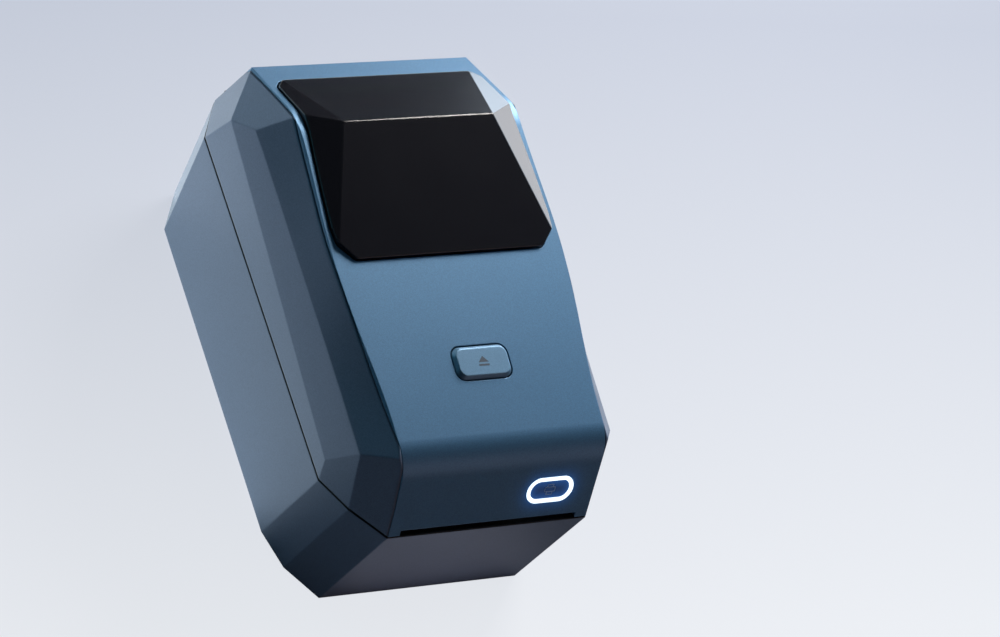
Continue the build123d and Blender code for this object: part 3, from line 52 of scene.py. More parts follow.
FRONT_EDGE = (-0.0664, 0.038)
SEAM_POINTS = (FRONT_EDGE, (-0.0569, 0.0364), (-0.0464, 0.0324), (0.0634, 0.0313))
SEAM_GAP = 0.0004
FRONT_SLOPE = math.atan2(18.7, 12.5)
TOP_SLOPE = math.atan2(6.15, 94.0)
RING_UP_SLOPE = 0.0098
RING_HALF_STRAIGHT = 0.0035
RING_RADIUS = 0.00325
BUTTON_PLACE = (-0.0288, 0.058342)
BUTTON_LIFT = 0.0009

# The camera's place and the directions of the picture's right and top

CAMERA_PLACE = Vector((-0.79795, -0.4804, 1.1090))
CAMERA_RIGHT = Vector((0.81511, -0.30541, 0.49227))
CAMERA_UP = Vector((0.06606, 0.89320, 0.44477))


def linear(red, green, blue):
    """A colour given as 0 to 255 screen values, in linear light."""
    return tuple(
        value / 12.92 if value <= 0.04045 else ((value + 0.055) / 1.055) ** 2.4
        for value in (red / 255, green / 255, blue / 255)
    )


# Sizes and colours

class CaseLook(bpy.types.PropertyGroup):
    case_color: FloatVectorProperty(
        name="Case", description="Paint of the two case halves", subtype="COLOR", size=3, min=0, max=1,
        default=linear(84, 100, 124),
    )
    panel_color: FloatVectorProperty(
        name="Panel", description="Paint of the top panel", subtype="COLOR", size=3, min=0, max=1,
        default=linear(66, 106, 138),
    )
    button_color: FloatVectorProperty(
        name="Open button", description="Paint of the open button", subtype="COLOR", size=3, min=0, max=1,
        default=linear(92, 128, 156),
    )
    edge_round: FloatProperty(
        name="Edge rounding", description="Radius of the case's edges", subtype="DISTANCE", unit="LENGTH",
        default=0.0008, min=0,
    )
    panel_edge_round: FloatProperty(
        name="Panel edge rounding", description="Radius of the panel's edges", subtype="DISTANCE",
        unit="LENGTH", default=0.0003, min=0,
    )
    grain: FloatProperty(
        name="Grain", description="Grains of the paint per metre", default=5200.0, min=1,
    )


class WindowLook(bpy.types.PropertyGroup):
    tint: FloatVectorProperty(
        name="Tint", description="Colour of the dark window", subtype="COLOR", size=3, min=0, max=1,
        default=(0.009, 0.009, 0.012),
    )
    edge_round: FloatProperty(
        name="Edge rounding", description="Radius of the window's edges", subtype="DISTANCE", unit="LENGTH",
        default=0.0005, min=0,
    )


class RingLook(bpy.types.PropertyGroup):
    glow: FloatProperty(name="Glow", description="Strength of the ring of light", default=1.5, min=0)
    glow_color: FloatVectorProperty(
        name="Glow colour", description="Colour of the ring of light", subtype="COLOR", size=3, min=0, max=1,
        default=(0.78, 0.92, 1.0),
    )
    line_width: FloatProperty(
        name="Line width", description="Width of the lines in the symbols", subtype="DISTANCE", unit="LENGTH",
        default=0.00022, min=0,
    )


class RollLook(bpy.types.PropertyGroup):
    label_color: FloatVectorProperty(
        name="Label", description="Colour of the blank labels", subtype="COLOR", size=3, min=0, max=1,
        default=(0.86, 0.86, 0.85),
    )
    liner_color: FloatVectorProperty(
        name="Liner", description="Colour of the liner under the labels", subtype="COLOR", size=3, min=0,
        max=1, default=(0.66, 0.62, 0.48),
    )
    card_color: FloatVectorProperty(
        name="Core card", description="Colour of the core", subtype="COLOR", size=3, min=0, max=1,
        default=(0.42, 0.3, 0.19),
    )
    label_half_width: FloatProperty(
        name="Label half width", description="Half the width of a label", subtype="DISTANCE", unit="LENGTH",
        default=0.0185, min=0,
    )
    labels_round: FloatProperty(
        name="Labels round", description="Labels in one turn of the roll", default=5.0, min=1,
    )
    layers: FloatProperty(
        name="Layers", description="Wound layers per metre of radius", default=3600.0, min=1,
    )
    card_strips: FloatProperty(
        name="Card strips", description="Turns of the card spiral per metre", default=60.0, min=1,
    )


class StageLook(bpy.types.PropertyGroup):
    near_color: FloatVectorProperty(
        name="Floor, near", description="Colour of the floor in front", subtype="COLOR", size=3, min=0, max=1,
        default=linear(235, 238, 243),
    )
    far_color: FloatVectorProperty(
        name="Floor, far", description="Colour of the floor behind", subtype="COLOR", size=3, min=0, max=1,
        default=linear(195, 201, 215),
    )
    card_glow: FloatProperty(
        name="Card", description="Strength of the card beside the case", default=1.41, min=0,
    )
    front_glow: FloatProperty(
        name="Front card", description="Strength of the card before the case", default=0.3, min=0,
    )
    lamp_scale: FloatProperty(
        name="Lamp scale", description="Strength of all lamps together", default=1.0, min=0,
    )


# Shared node groups

def group_tree(name, inputs, outputs):
    """A new node group with its sockets, and its input and output nodes."""
    tree = bpy.data.node_groups.new(name, "ShaderNodeTree")
    for label, kind, default in inputs:
        socket = tree.interface.new_socket(label, in_out="INPUT", socket_type=kind)
        if default is not None:
            socket.default_value = default
    for label, kind in outputs:
        tree.interface.new_socket(label, in_out="OUTPUT", socket_type=kind)
    return tree, tree.nodes.new("NodeGroupInput"), tree.nodes.new("NodeGroupOutput")


def put(tree, socket, value):
    """Sets a socket to a value, or links it where the value is the socket of another node."""
    if isinstance(value, bpy.types.NodeSocket):
        tree.links.new(value, socket)
    else:
        socket.default_value = value


def add(tree, kind, inputs=None, **settings):
    """A node with its settings, and with its inputs by name or number."""
    node = tree.nodes.new(kind)
    for name, value in settings.items():
        setattr(node, name, value)
    for name, value in (inputs or {}).items():
        put(tree, node.inputs[name], value)
    return node


def maths(tree, operation, *values, clamp=False):
    """The result of an operation on values or sockets."""
    node = add(tree, "ShaderNodeMath", dict(enumerate(values)), operation=operation, use_clamp=clamp)
    return node.outputs["Value"]


def vector_maths(tree, operation, *values):
    """The result of an operation on vectors: a number for a dot product or a length."""
    node = add(tree, "ShaderNodeVectorMath", dict(enumerate(values)), operation=operation)
    return node.outputs["Value" if operation in ("DOT_PRODUCT", "LENGTH") else "Vector"]


def own_place(tree):
    """The place on a piece, in its own space."""
    return add(tree, "ShaderNodeTexCoord").outputs["Object"]


def edge_group():
    """Where the surface turns a corner: a rounded normal, and a mask that is 1 on the corner."""
    tree, source, result = group_tree(
        "Corners",
        [("Radius", "NodeSocketFloat", 0.0004)],
        [("Normal", "NodeSocketVector"), ("Mask", "NodeSocketFloat")],
    )
    bevel = add(tree, "ShaderNodeBevel", {"Radius": source.outputs["Radius"]}, samples=6)
    flat = add(tree, "ShaderNodeNewGeometry")
    facing = vector_maths(tree, "DOT_PRODUCT", bevel.outputs["Normal"], flat.outputs["Normal"])
    spread = add(tree, "ShaderNodeMapRange", {"Value": facing, "From Min": 0.999, "From Max": 0.93})
    put(tree, result.inputs["Normal"], bevel.outputs["Normal"])
    put(tree, result.inputs["Mask"], spread.outputs["Result"])
    return tree


def grain_group():
    """Fine moulded or sprayed grain, and slow patches, in the object's own space."""
    tree, source, result = group_tree(
        "Grain",
        [("Scale", "NodeSocketFloat", 5000.0), ("Patch scale", "NodeSocketFloat", 60.0)],
        [("Height", "NodeSocketFloat"), ("Fleck", "NodeSocketFloat"), ("Patch", "NodeSocketFloat")],
    )
    place = own_place(tree)
    scale = source.outputs["Scale"]
    fine = add(tree, "ShaderNodeTexNoise", {"Vector": place, "Scale": scale, "Detail": 2.0, "Roughness": 0.6})
    cells = add(tree, "ShaderNodeTexVoronoi", {"Vector": place, "Scale": scale})
    bright = add(tree, "ShaderNodeSeparateColor", {"Color": cells.outputs["Color"]})
    patch_scale = source.outputs["Patch scale"]
    patch = add(tree, "ShaderNodeTexNoise", {"Vector": place, "Scale": patch_scale, "Detail": 4.0})
    put(tree, result.inputs["Height"], fine.outputs["Fac"])
    put(tree, result.inputs["Fleck"], bright.outputs["Red"])
    put(tree, result.inputs["Patch"], patch.outputs["Fac"])
    return tree


def wound_group():
    """Round an axis along X: wound layers, the turn round it, the end faces and the distance along X."""
    tree, source, result = group_tree(
        "Wound",
        [("Centre", "NodeSocketVector", None), ("Layers per metre", "NodeSocketFloat", 4000.0)],
        [(label, "NodeSocketFloat") for label in ("Layers", "Turn", "Ends", "Along")],
    )
    place = add(tree, "ShaderNodeTexCoord")
    offset = vector_maths(tree, "SUBTRACT", place.outputs["Object"], source.outputs["Centre"])
    axes = add(tree, "ShaderNodeSeparateXYZ", {"Vector": offset})
    flat = add(tree, "ShaderNodeCombineXYZ", {"Y": axes.outputs["Y"], "Z": axes.outputs["Z"]})
    radius = vector_maths(tree, "LENGTH", flat.outputs["Vector"])
    turn = maths(tree, "ARCTAN2", axes.outputs["Z"], axes.outputs["Y"])
    share = maths(tree, "MULTIPLY_ADD", turn, 0.5 / math.pi, 0.5)
    wind = maths(tree, "MULTIPLY_ADD", radius, source.outputs["Layers per metre"], share)
    facing = add(tree, "ShaderNodeSeparateXYZ", {"Vector": place.outputs["Normal"]})
    put(tree, result.inputs["Layers"], maths(tree, "PINGPONG", wind, 1.0))
    put(tree, result.inputs["Turn"], share)
    put(tree, result.inputs["Ends"], maths(tree, "ABSOLUTE", facing.outputs["X"]))
    put(tree, result.inputs["Along"], axes.outputs["X"])
    return tree


def shared(name):
    """A node group by its name, made when it is first asked for."""
    makers = {"Corners": edge_group, "Grain": grain_group, "Wound": wound_group}
    return bpy.data.node_groups.get(name) or makers[name]()


def use_group(tree, name, inputs=None):
    """A node that uses a shared group, with its own values."""
    node = add(tree, "ShaderNodeGroup", node_tree=shared(name))
    for label, value in (inputs or {}).items():
        put(tree, node.inputs[label], value)
    return node


def between(tree, mask, low, high):
    """A value that goes from low to high as a mask goes from 0 to 1."""
    node = add(tree, "ShaderNodeMapRange", {"Value": mask, "To Min": low, "To Max": high})
    return node.outputs["Result"]


def mixed(tree, mask, first, second):
    """A colour that goes from the first to the second as a mask goes from 0 to 1."""
    node = add(tree, "ShaderNodeMix", {"Factor": mask}, data_type="RGBA")
    for label, color in (("A", first), ("B", second)):
        if not isinstance(color, bpy.types.NodeSocket):
            color = (*color, 1.0)
        put(tree, node.inputs[label], color)
    return node.outputs["Result"]


def inside(material):
    """The node tree and the shader of a material."""
    tree = material.node_tree
    return tree, tree.nodes["Principled BSDF"]


def blank(name):
    """A new material, with its node tree and its shader."""
    material = bpy.data.materials.new(name)
    material.use_nodes = True
    return material, *inside(material)


def so_far(shader, label):
    """What feeds an input of a shader so far."""
    return shader.inputs[label].links[0].from_socket


def shade(color, factor):
    """A colour made darker or lighter by a factor."""
    return tuple(min(1.0, value * factor) for value in color)


def surface(name, color, roughness, grain=4000.0, depth=0.1, metallic=0.0, fleck=0.12, wear=0.25,
            round_edge=0.0, spread=0.06, coat=0.0, coat_rough=0.2):
    """A moulded, painted or metal surface with grain, patches and worn edges."""
    sharp_edge = 0.00015
    worn_paleness = 1.9
    material, tree, shader = blank(name)
    grains = use_group(tree, "Grain", {"Scale": grain})
    corners = use_group(tree, "Corners", {"Radius": max(round_edge, sharp_edge)})
    flecked = mixed(tree, grains.outputs["Fleck"], shade(color, 1 - fleck), shade(color, 1 + fleck))
    worn = maths(tree, "MULTIPLY", corners.outputs["Mask"], wear)
    rough = between(tree, grains.outputs["Patch"], roughness - spread, roughness + spread)
    bump = add(tree, "ShaderNodeBump", {"Strength": depth, "Distance": 0.00004,
                                        "Height": grains.outputs["Height"]})
    if round_edge:
        put(tree, bump.inputs["Normal"], corners.outputs["Normal"])
    put(tree, shader.inputs["Base Color"], mixed(tree, worn, flecked, shade(color, worn_paleness)))
    put(tree, shader.inputs["Roughness"], rough)
    put(tree, shader.inputs["Normal"], bump.outputs["Normal"])
    shader.inputs["Metallic"].default_value = metallic
    shader.inputs["Coat Weight"].default_value = coat
    shader.inputs["Coat Roughness"].default_value = coat_rough
    return material


def brush(material, direction, depth=0.25):
    """Adds fine brush marks along a direction to a metal surface."""
    along_marks, across_marks = 90.0, 6000.0
    tree, shader = inside(material)
    scale = tuple(along_marks if along else across_marks for along in direction)
    stretch = vector_maths(tree, "MULTIPLY", own_place(tree), scale)
    marks = add(tree, "ShaderNodeTexNoise", {"Vector": stretch, "Scale": 1.0, "Detail": 1.0}).outputs["Fac"]
    bump = add(tree, "ShaderNodeBump", {"Strength": depth, "Distance": 0.00003, "Height": marks,
                                        "Normal": so_far(shader, "Normal")})
    rough = maths(tree, "MULTIPLY_ADD", marks, depth, so_far(shader, "Roughness"))
    put(tree, shader.inputs["Roughness"], rough)
    put(tree, shader.inputs["Normal"], bump.outputs["Normal"])


def etch(material, color, cell, share):
    """Adds copper tracks to a circuit board: thin lines on a square grid, broken up by cells."""
    bare_share = 0.35
    tree, shader = inside(material)
    place = own_place(tree)
    tracks = add(tree, "ShaderNodeTexBrick", {"Vector": place, "Scale": 1.0, "Mortar Size": share * cell,
                                              "Brick Width": 2.4 * cell, "Row Height": cell})
    cells = add(tree, "ShaderNodeTexVoronoi", {"Vector": place, "Scale": 0.4 / cell})
    chosen = add(tree, "ShaderNodeSeparateColor", {"Color": cells.outputs["Color"]})
    tracked = maths(tree, "GREATER_THAN", chosen.outputs["Red"], bare_share)
    mask = maths(tree, "MULTIPLY", tracks.outputs["Fac"], tracked)
    put(tree, shader.inputs["Base Color"], mixed(tree, mask, so_far(shader, "Base Color"), color))


def seam(material, node):
    """Darkens the paint in and beside the gap between base and lid, where little light gets in."""
    deep_shade = (0.004, 0.005, 0.006)
    tree, shader = inside(material)
    place = vector_maths(tree, "ADD", own_place(tree), NODES[node].matrix_world.translation)
    axes = add(tree, "ShaderNodeSeparateXYZ", {"Vector": place})
    height = axes.outputs["Z"]
    for (near, high), (far, low) in zip(SEAM_POINTS, SEAM_POINTS[1:]):
        drop = add(tree, "ShaderNodeMapRange", {"Value": axes.outputs["Y"], "From Min": near, "From Max": far,
                                                "To Min": high - low, "To Max": 0.0})
        height = maths(tree, "SUBTRACT", height, drop.outputs["Result"])
    middle = SEAM_POINTS[-1][1] + SEAM_GAP / 2
    away = maths(tree, "ABSOLUTE", maths(tree, "SUBTRACT", height, middle))
    mask = soft_edge(tree, away, SEAM_GAP, 0.7 * SEAM_GAP)
    put(tree, shader.inputs["Base Color"], mixed(tree, mask, so_far(shader, "Base Color"), deep_shade))


def soft_edge(tree, value, low, high):
    """A mask that goes softly from 0 to 1 as a value goes from low to high."""
    node = add(tree, "ShaderNodeMapRange", {"Value": value, "From Min": low, "From Max": high},
               interpolation_type="SMOOTHSTEP")
    return node.outputs["Result"]


def centre_of(name):
    """Middle of a node, in the node's own space."""
    low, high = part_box(name)
    return NODES[name].matrix_world.inverted() @ ((Vector(low) + Vector(high)) / 2)


def dress(material, *names):
    """Gives nodes their material."""
    for name in names:
        slots = NODES[name].data.materials
        slots.clear()
        slots.append(material)


# Planes of the case that the symbols lie on

def sloped_plane(node, slope, place, lift=0.0):
    """Middle of a face on a slope of the case, with its across, along and outward directions."""
    low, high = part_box(node)
    across = Vector((1, 0, 0))
    along = Vector((0, math.cos(slope), math.sin(slope)))
    outward = across.cross(along)
    centre = Vector(((low.x + high.x) / 2, *place)) + outward * lift
    return centre, across, along, outward


def ring_plane():
    """The plane of the ring's face, some way up the front slope from the front edge."""
    run, rise = RING_UP_SLOPE * math.cos(FRONT_SLOPE), RING_UP_SLOPE * math.sin(FRONT_SLOPE)
    return sloped_plane("light_ring", FRONT_SLOPE, (FRONT_EDGE[0] + run, FRONT_EDGE[1] + rise))


def thin_shape(name, outlines, place, thickness):
    """A thin raised or sunk marking, from closed outlines in metres on a plane."""
    centre, across, along, outward = place
    mesh = bpy.data.meshes.new(name)
    shape = bmesh.new()
    for outline in outlines:
        top = [shape.verts.new(centre + across * x + along * y + outward * thickness) for x, y in outline]
        bottom = [shape.verts.new(centre + across * x + along * y) for x, y in outline]
        shape.faces.new(top)
        shape.faces.new(list(reversed(bottom)))
        count = len(outline)
        for index in range(count):
            following = (index + 1) % count
            shape.faces.new((bottom[index], bottom[following], top[following], top[index]))
    bmesh.ops.recalc_face_normals(shape, faces=shape.faces)
    shape.to_mesh(mesh)
    shape.free()
    piece = bpy.data.objects.new(name, mesh)
    bpy.context.scene.collection.objects.link(piece)
    return piece


def stroke(points, width, closed=False):
    """Quadrilaterals that draw a line of a width through points."""
    quads = []
    following = points[1:] + points[:1] if closed else points[1:]
    for start, end in zip(points, following):
        start, end = Vector(start), Vector(end)
        ahead = (end - start).normalized() * (width / 2)
        side = Vector((-ahead.y, ahead.x))
        start, end = start - ahead, end + ahead
        quads.append([start - side, end - side, end + side, start + side])
    return quads


# Operators

class PRINTER_OT_case(bpy.types.Operator):
    """Paints the two case halves and the top panel"""

    bl_idname = "printer.case"
    bl_label = "Case"

    def execute(self, context):
        look = context.scene.printer_case
        case = surface("Body paint", look.case_color, 0.46, look.grain, 0.16, metallic=0.35, fleck=0.10,
                       wear=0.12, round_edge=look.edge_round, spread=0.03)
        panel = surface("Panel paint", look.panel_color, 0.43, look.grain, 0.16, metallic=0.45, fleck=0.12,
                        wear=0.12, round_edge=look.panel_edge_round, spread=0.03)
        cover = surface("Cover plastic", shade(look.case_color, 0.6), 0.55, 3000, 0.3, fleck=0.06)
        lid = case.copy()
        lid.name = "Lid paint"
        for material, node in ((case, "base_shell"), (lid, "lid_shell")):
            seam(material, node)
            dress(material, node)
        dress(panel, "top_panel")
        dress(cover, "bottom_cover")
        return {"FINISHED"}


class PRINTER_OT_window(bpy.types.Operator):
    """Gives the raised window its dark polished tint"""

    bl_idname = "printer.window"
    bl_label = "Window"

    def execute(self, context):
        look = context.scene.printer_window
        tint = surface("Window tint", look.tint, 0.16, 900, 0.01, fleck=0.02, wear=0.0,
                       round_edge=look.edge_round, spread=0.02, coat=1.0, coat_rough=0.04)
        gasket = surface("Gasket rubber", (0.012, 0.012, 0.013), 0.7, 2500, 0.3)
        dress(tint, "window")
        dress(gasket, "window_gasket")
        return {"FINISHED"}


class PRINTER_OT_open_button(bpy.types.Operator):
    """Paints the open button and marks it with a lift symbol"""

    bl_idname = "printer.open_button"
    bl_label = "Open button"

    def execute(self, context):
        look = context.scene.printer_case
        paint = surface("Button paint", look.button_color, 0.42, look.grain, 0.16, metallic=0.4, fleck=0.10,
                        wear=0.2, round_edge=0.0005, spread=0.03)
        dress(paint, "open_button")
        ink = surface("Symbol ink", linear(38, 56, 74), 0.5, 4000, 0.1)
        half = 0.0016
        triangle = [(-half, -0.0003), (half, -0.0003), (0.0, 0.0014)]
        bar = [(-half, -0.0013), (half, -0.0013), (half, -0.0008), (-half, -0.0008)]
        plane = sloped_plane("open_button", TOP_SLOPE, BUTTON_PLACE, BUTTON_LIFT)
        symbol = thin_shape("open_symbol", [triangle, bar], plane, 0.00003)
        symbol.data.materials.append(ink)
        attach(symbol, "open_button")
        return {"FINISHED"}


class PRINTER_OT_ring(bpy.types.Operator):
    """Lights the ring and marks the print button with a box, a sheet above it and a slip below"""

    bl_idname = "printer.ring"
    bl_label = "Ring of light"

    def execute(self, context):
        look = context.scene.printer_ring
        glow, tree, shader = blank("Ring glow")
        grains = use_group(tree, "Grain", {"Scale": 1200.0, "Patch scale": 400.0})
        patch = grains.outputs["Patch"]
        put(tree, shader.inputs["Emission Color"],
            mixed(tree, patch, look.glow_color, shade(look.glow_color, 1.1)))
        put(tree, shader.inputs["Emission Strength"],
            between(tree, patch, 0.85 * look.glow, 1.1 * look.glow))
        shader.inputs["Base Color"].default_value = (0.8, 0.9, 1.0, 1.0)
        shader.inputs["Roughness"].default_value = 0.4
        dress(glow, "light_ring")
        key = surface("Print button", linear(40, 66, 96), 0.4, 3000, 0.08, fleck=0.08, round_edge=0.0003)
        self.spill(key, "print_button", 0.30, 0.0022)
        self.spill(bpy.data.materials["Panel paint"], "top_panel", 0.17, 0.0014)
        dress(key, "print_button")
        ink = surface("Print symbol ink", linear(150, 180, 215), 0.5, 4000, 0.1)
        width = look.line_width
        wide, narrow = 0.0016, 0.0009
        low, high = -0.0006, 0.0007
        sunk = 0.00015
        centre, across, along, outward = ring_plane()
        face = (centre - outward * sunk, across, along, outward)
        body = [(-wide, low), (wide, low), (wide, high), (-wide, high)]
        sheet = [(-narrow, high), (-narrow, 0.0015), (narrow, 0.0015), (narrow, high)]
        slip = [(-narrow, low), (-narrow, -0.0015), (narrow, -0.0015), (narrow, low)]
        outlines = stroke(body, width, closed=True) + stroke(sheet, width) + stroke(slip, width)
        symbol = thin_shape("print_symbol", outlines, face, 0.00002)
        symbol.data.materials.append(ink)
        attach(symbol, "print_button")
        return {"FINISHED"}

    def spill(self, material, node, strength, reach):
        """Light from the ring on the surface round it, fading with the distance from the ring."""
        tree, shader = inside(material)
        centre, across, along, outward = ring_plane()
        home = NODES[node].matrix_world.inverted()
        offset = vector_maths(tree, "SUBTRACT", own_place(tree), home @ centre)
        squares = []
        for direction, half in ((across, RING_HALF_STRAIGHT), (along, 0.0)):
            part = vector_maths(tree, "DOT_PRODUCT", offset, home.to_3x3() @ direction)
            beyond = maths(tree, "SUBTRACT", maths(tree, "ABSOLUTE", part), half, clamp=True)
            squares.append(maths(tree, "MULTIPLY", beyond, beyond))
        distance = maths(tree, "SQRT", maths(tree, "ADD", *squares))
        gap = maths(tree, "ABSOLUTE", maths(tree, "SUBTRACT", distance, RING_RADIUS))
        fall = maths(tree, "EXPONENT", maths(tree, "DIVIDE", gap, -reach))
        put(tree, shader.inputs["Emission Strength"], maths(tree, "MULTIPLY", fall, strength))
        shader.inputs["Emission Color"].default_value = (0.02, 0.25, 1.0, 1.0)


class PRINTER_OT_mechanism(bpy.types.Operator):
    """Finishes the print mechanism, the roll holder and the electronics"""

    bl_idname = "printer.mechanism"
    bl_label = "Mechanism"

    def execute(self, context):
        inner = surface("Inner plastic", (0.03, 0.032, 0.036), 0.55, 2600, 0.35, fleck=0.1)
        steel = surface("Ground steel", (0.55, 0.55, 0.57), 0.28, 3000, 0.15, metallic=1.0, fleck=0.05)
        plate = surface("Brushed steel", (0.5, 0.5, 0.52), 0.24, 3000, 0.1, metallic=1.0, fleck=0.04)
        brush(plate, (1, 0, 0))
        dark_steel = surface("Blackened steel", (0.06, 0.06, 0.065), 0.4, 3000, 0.2, metallic=0.8)
        brass = surface("Brass", (0.72, 0.52, 0.24), 0.3, 3000, 0.15, metallic=1.0)
        gear = surface("Gear plastic", (0.72, 0.71, 0.66), 0.45, 2000, 0.12)
        rubber = surface("Rubber", (0.018, 0.018, 0.02), 0.72, 3500, 0.5, fleck=0.15)
        wrap = surface("Battery wrap", (0.02, 0.05, 0.16), 0.3, 900, 0.2, coat=0.4)
        board = surface("Circuit board", (0.01, 0.12, 0.06), 0.35, 1500, 0.2, coat=0.3, fleck=0.2)
        etch(board, (0.03, 0.24, 0.11), 0.0014, 0.16)
        chip = surface("Chip plastic", (0.015, 0.015, 0.016), 0.5, 3000, 0.3)
        ceramic = surface("Head ceramic", (0.82, 0.8, 0.76), 0.25, 1500, 0.1)
        alloy = surface("Heat sink alloy", (0.66, 0.67, 0.69), 0.3, 2400, 0.2, metallic=1.0)
        brush(alloy, (1, 0, 0))
        guide = surface("Guide plastic", (0.08, 0.2, 0.42), 0.42, 2400, 0.15)
        latch = surface("Latch plastic", (0.66, 0.66, 0.62), 0.42, 2400, 0.15)
        dress(inner, "print_chassis", "roll_tub", "feed_plate", "lid_frame")
        dress(steel, "gear_posts", "catch_pins", "head_pivot_pin", "motor_shaft", "platen_shaft",
              "hinge_pins", "usb_socket", "head_springs", "button_springs")
        dress(plate, "tear_bar", "stepper_motor")
        dress(dark_steel, "bottom_screws", "lid_screws", "board_screws")
        dress(brass, "motor_pinion")
        dress(gear, "lower_idler_gear", "upper_idler_gear", "platen_gear", "guide_pinion", "platen_bushes")
        dress(rubber, "rubber_feet", "platen_roller")
        dress(wrap, "battery_pack")
        dress(board, "main_board", "button_board")
        dress(chip, "board_chips", "panel_switch", "label_sensor")
        dress(ceramic, "print_head")
        dress(alloy, "heat_sink")
        dress(guide, "left_roll_guide", "right_roll_guide")
        dress(latch, "latch_bar")
        return {"FINISHED"}


class PRINTER_OT_roll(bpy.types.Operator):
    """Gives the label roll its die-cut labels and wound layers, and the core its spiral of card"""

    bl_idname = "printer.roll"
    bl_label = "Label roll"

    def execute(self, context):
        look = context.scene.printer_roll
        self.paper(look)
        self.card(look)
        return {"FINISHED"}

    def paper(self, look):
        """Labels with gaps between them, on a liner that shows beside them and at the roll's ends."""
        gap_share = 0.07
        paper = surface("Label paper", look.label_color, 0.55, 2600, 0.12, fleck=0.03, wear=0.05)
        tree, shader = inside(paper)
        plain = so_far(shader, "Base Color")
        wound = use_group(tree, "Wound", {"Centre": centre_of("label_roll"), "Layers per metre": look.layers})
        share = maths(tree, "FRACT", maths(tree, "MULTIPLY", wound.outputs["Turn"], look.labels_round))
        on_label = maths(tree, "GREATER_THAN", share, gap_share)
        width = maths(tree, "ABSOLUTE", wound.outputs["Along"])
        label = maths(tree, "MULTIPLY", on_label, maths(tree, "LESS_THAN", width, look.label_half_width))
        outer = mixed(tree, label, look.liner_color, plain)
        edges = mixed(tree, wound.outputs["Layers"], look.liner_color, shade(look.label_color, 0.72))
        end_mask = maths(tree, "GREATER_THAN", wound.outputs["Ends"], 0.5)
        put(tree, shader.inputs["Base Color"], mixed(tree, end_mask, outer, edges))
        put(tree, shader.inputs["Roughness"], between(tree, label, 0.32, 0.6))
        dress(paper, "label_roll")

    def card(self, look):
        """A spiral joint round the core."""
        joint_share = 0.04
        card = surface("Core card", look.card_color, 0.85, 1800, 0.6, fleck=0.2)
        tree, shader = inside(card)
        plain = so_far(shader, "Base Color")
        wound = use_group(tree, "Wound", {"Centre": centre_of("roll_core"), "Layers per metre": look.layers})
        lead = maths(tree, "MULTIPLY_ADD", wound.outputs["Along"], look.card_strips, wound.outputs["Turn"])
        joint = maths(tree, "LESS_THAN", maths(tree, "FRACT", lead), joint_share)
        put(tree, shader.inputs["Base Color"], mixed(tree, joint, plain, shade(look.card_color, 0.45)))
        dress(card, "roll_core")


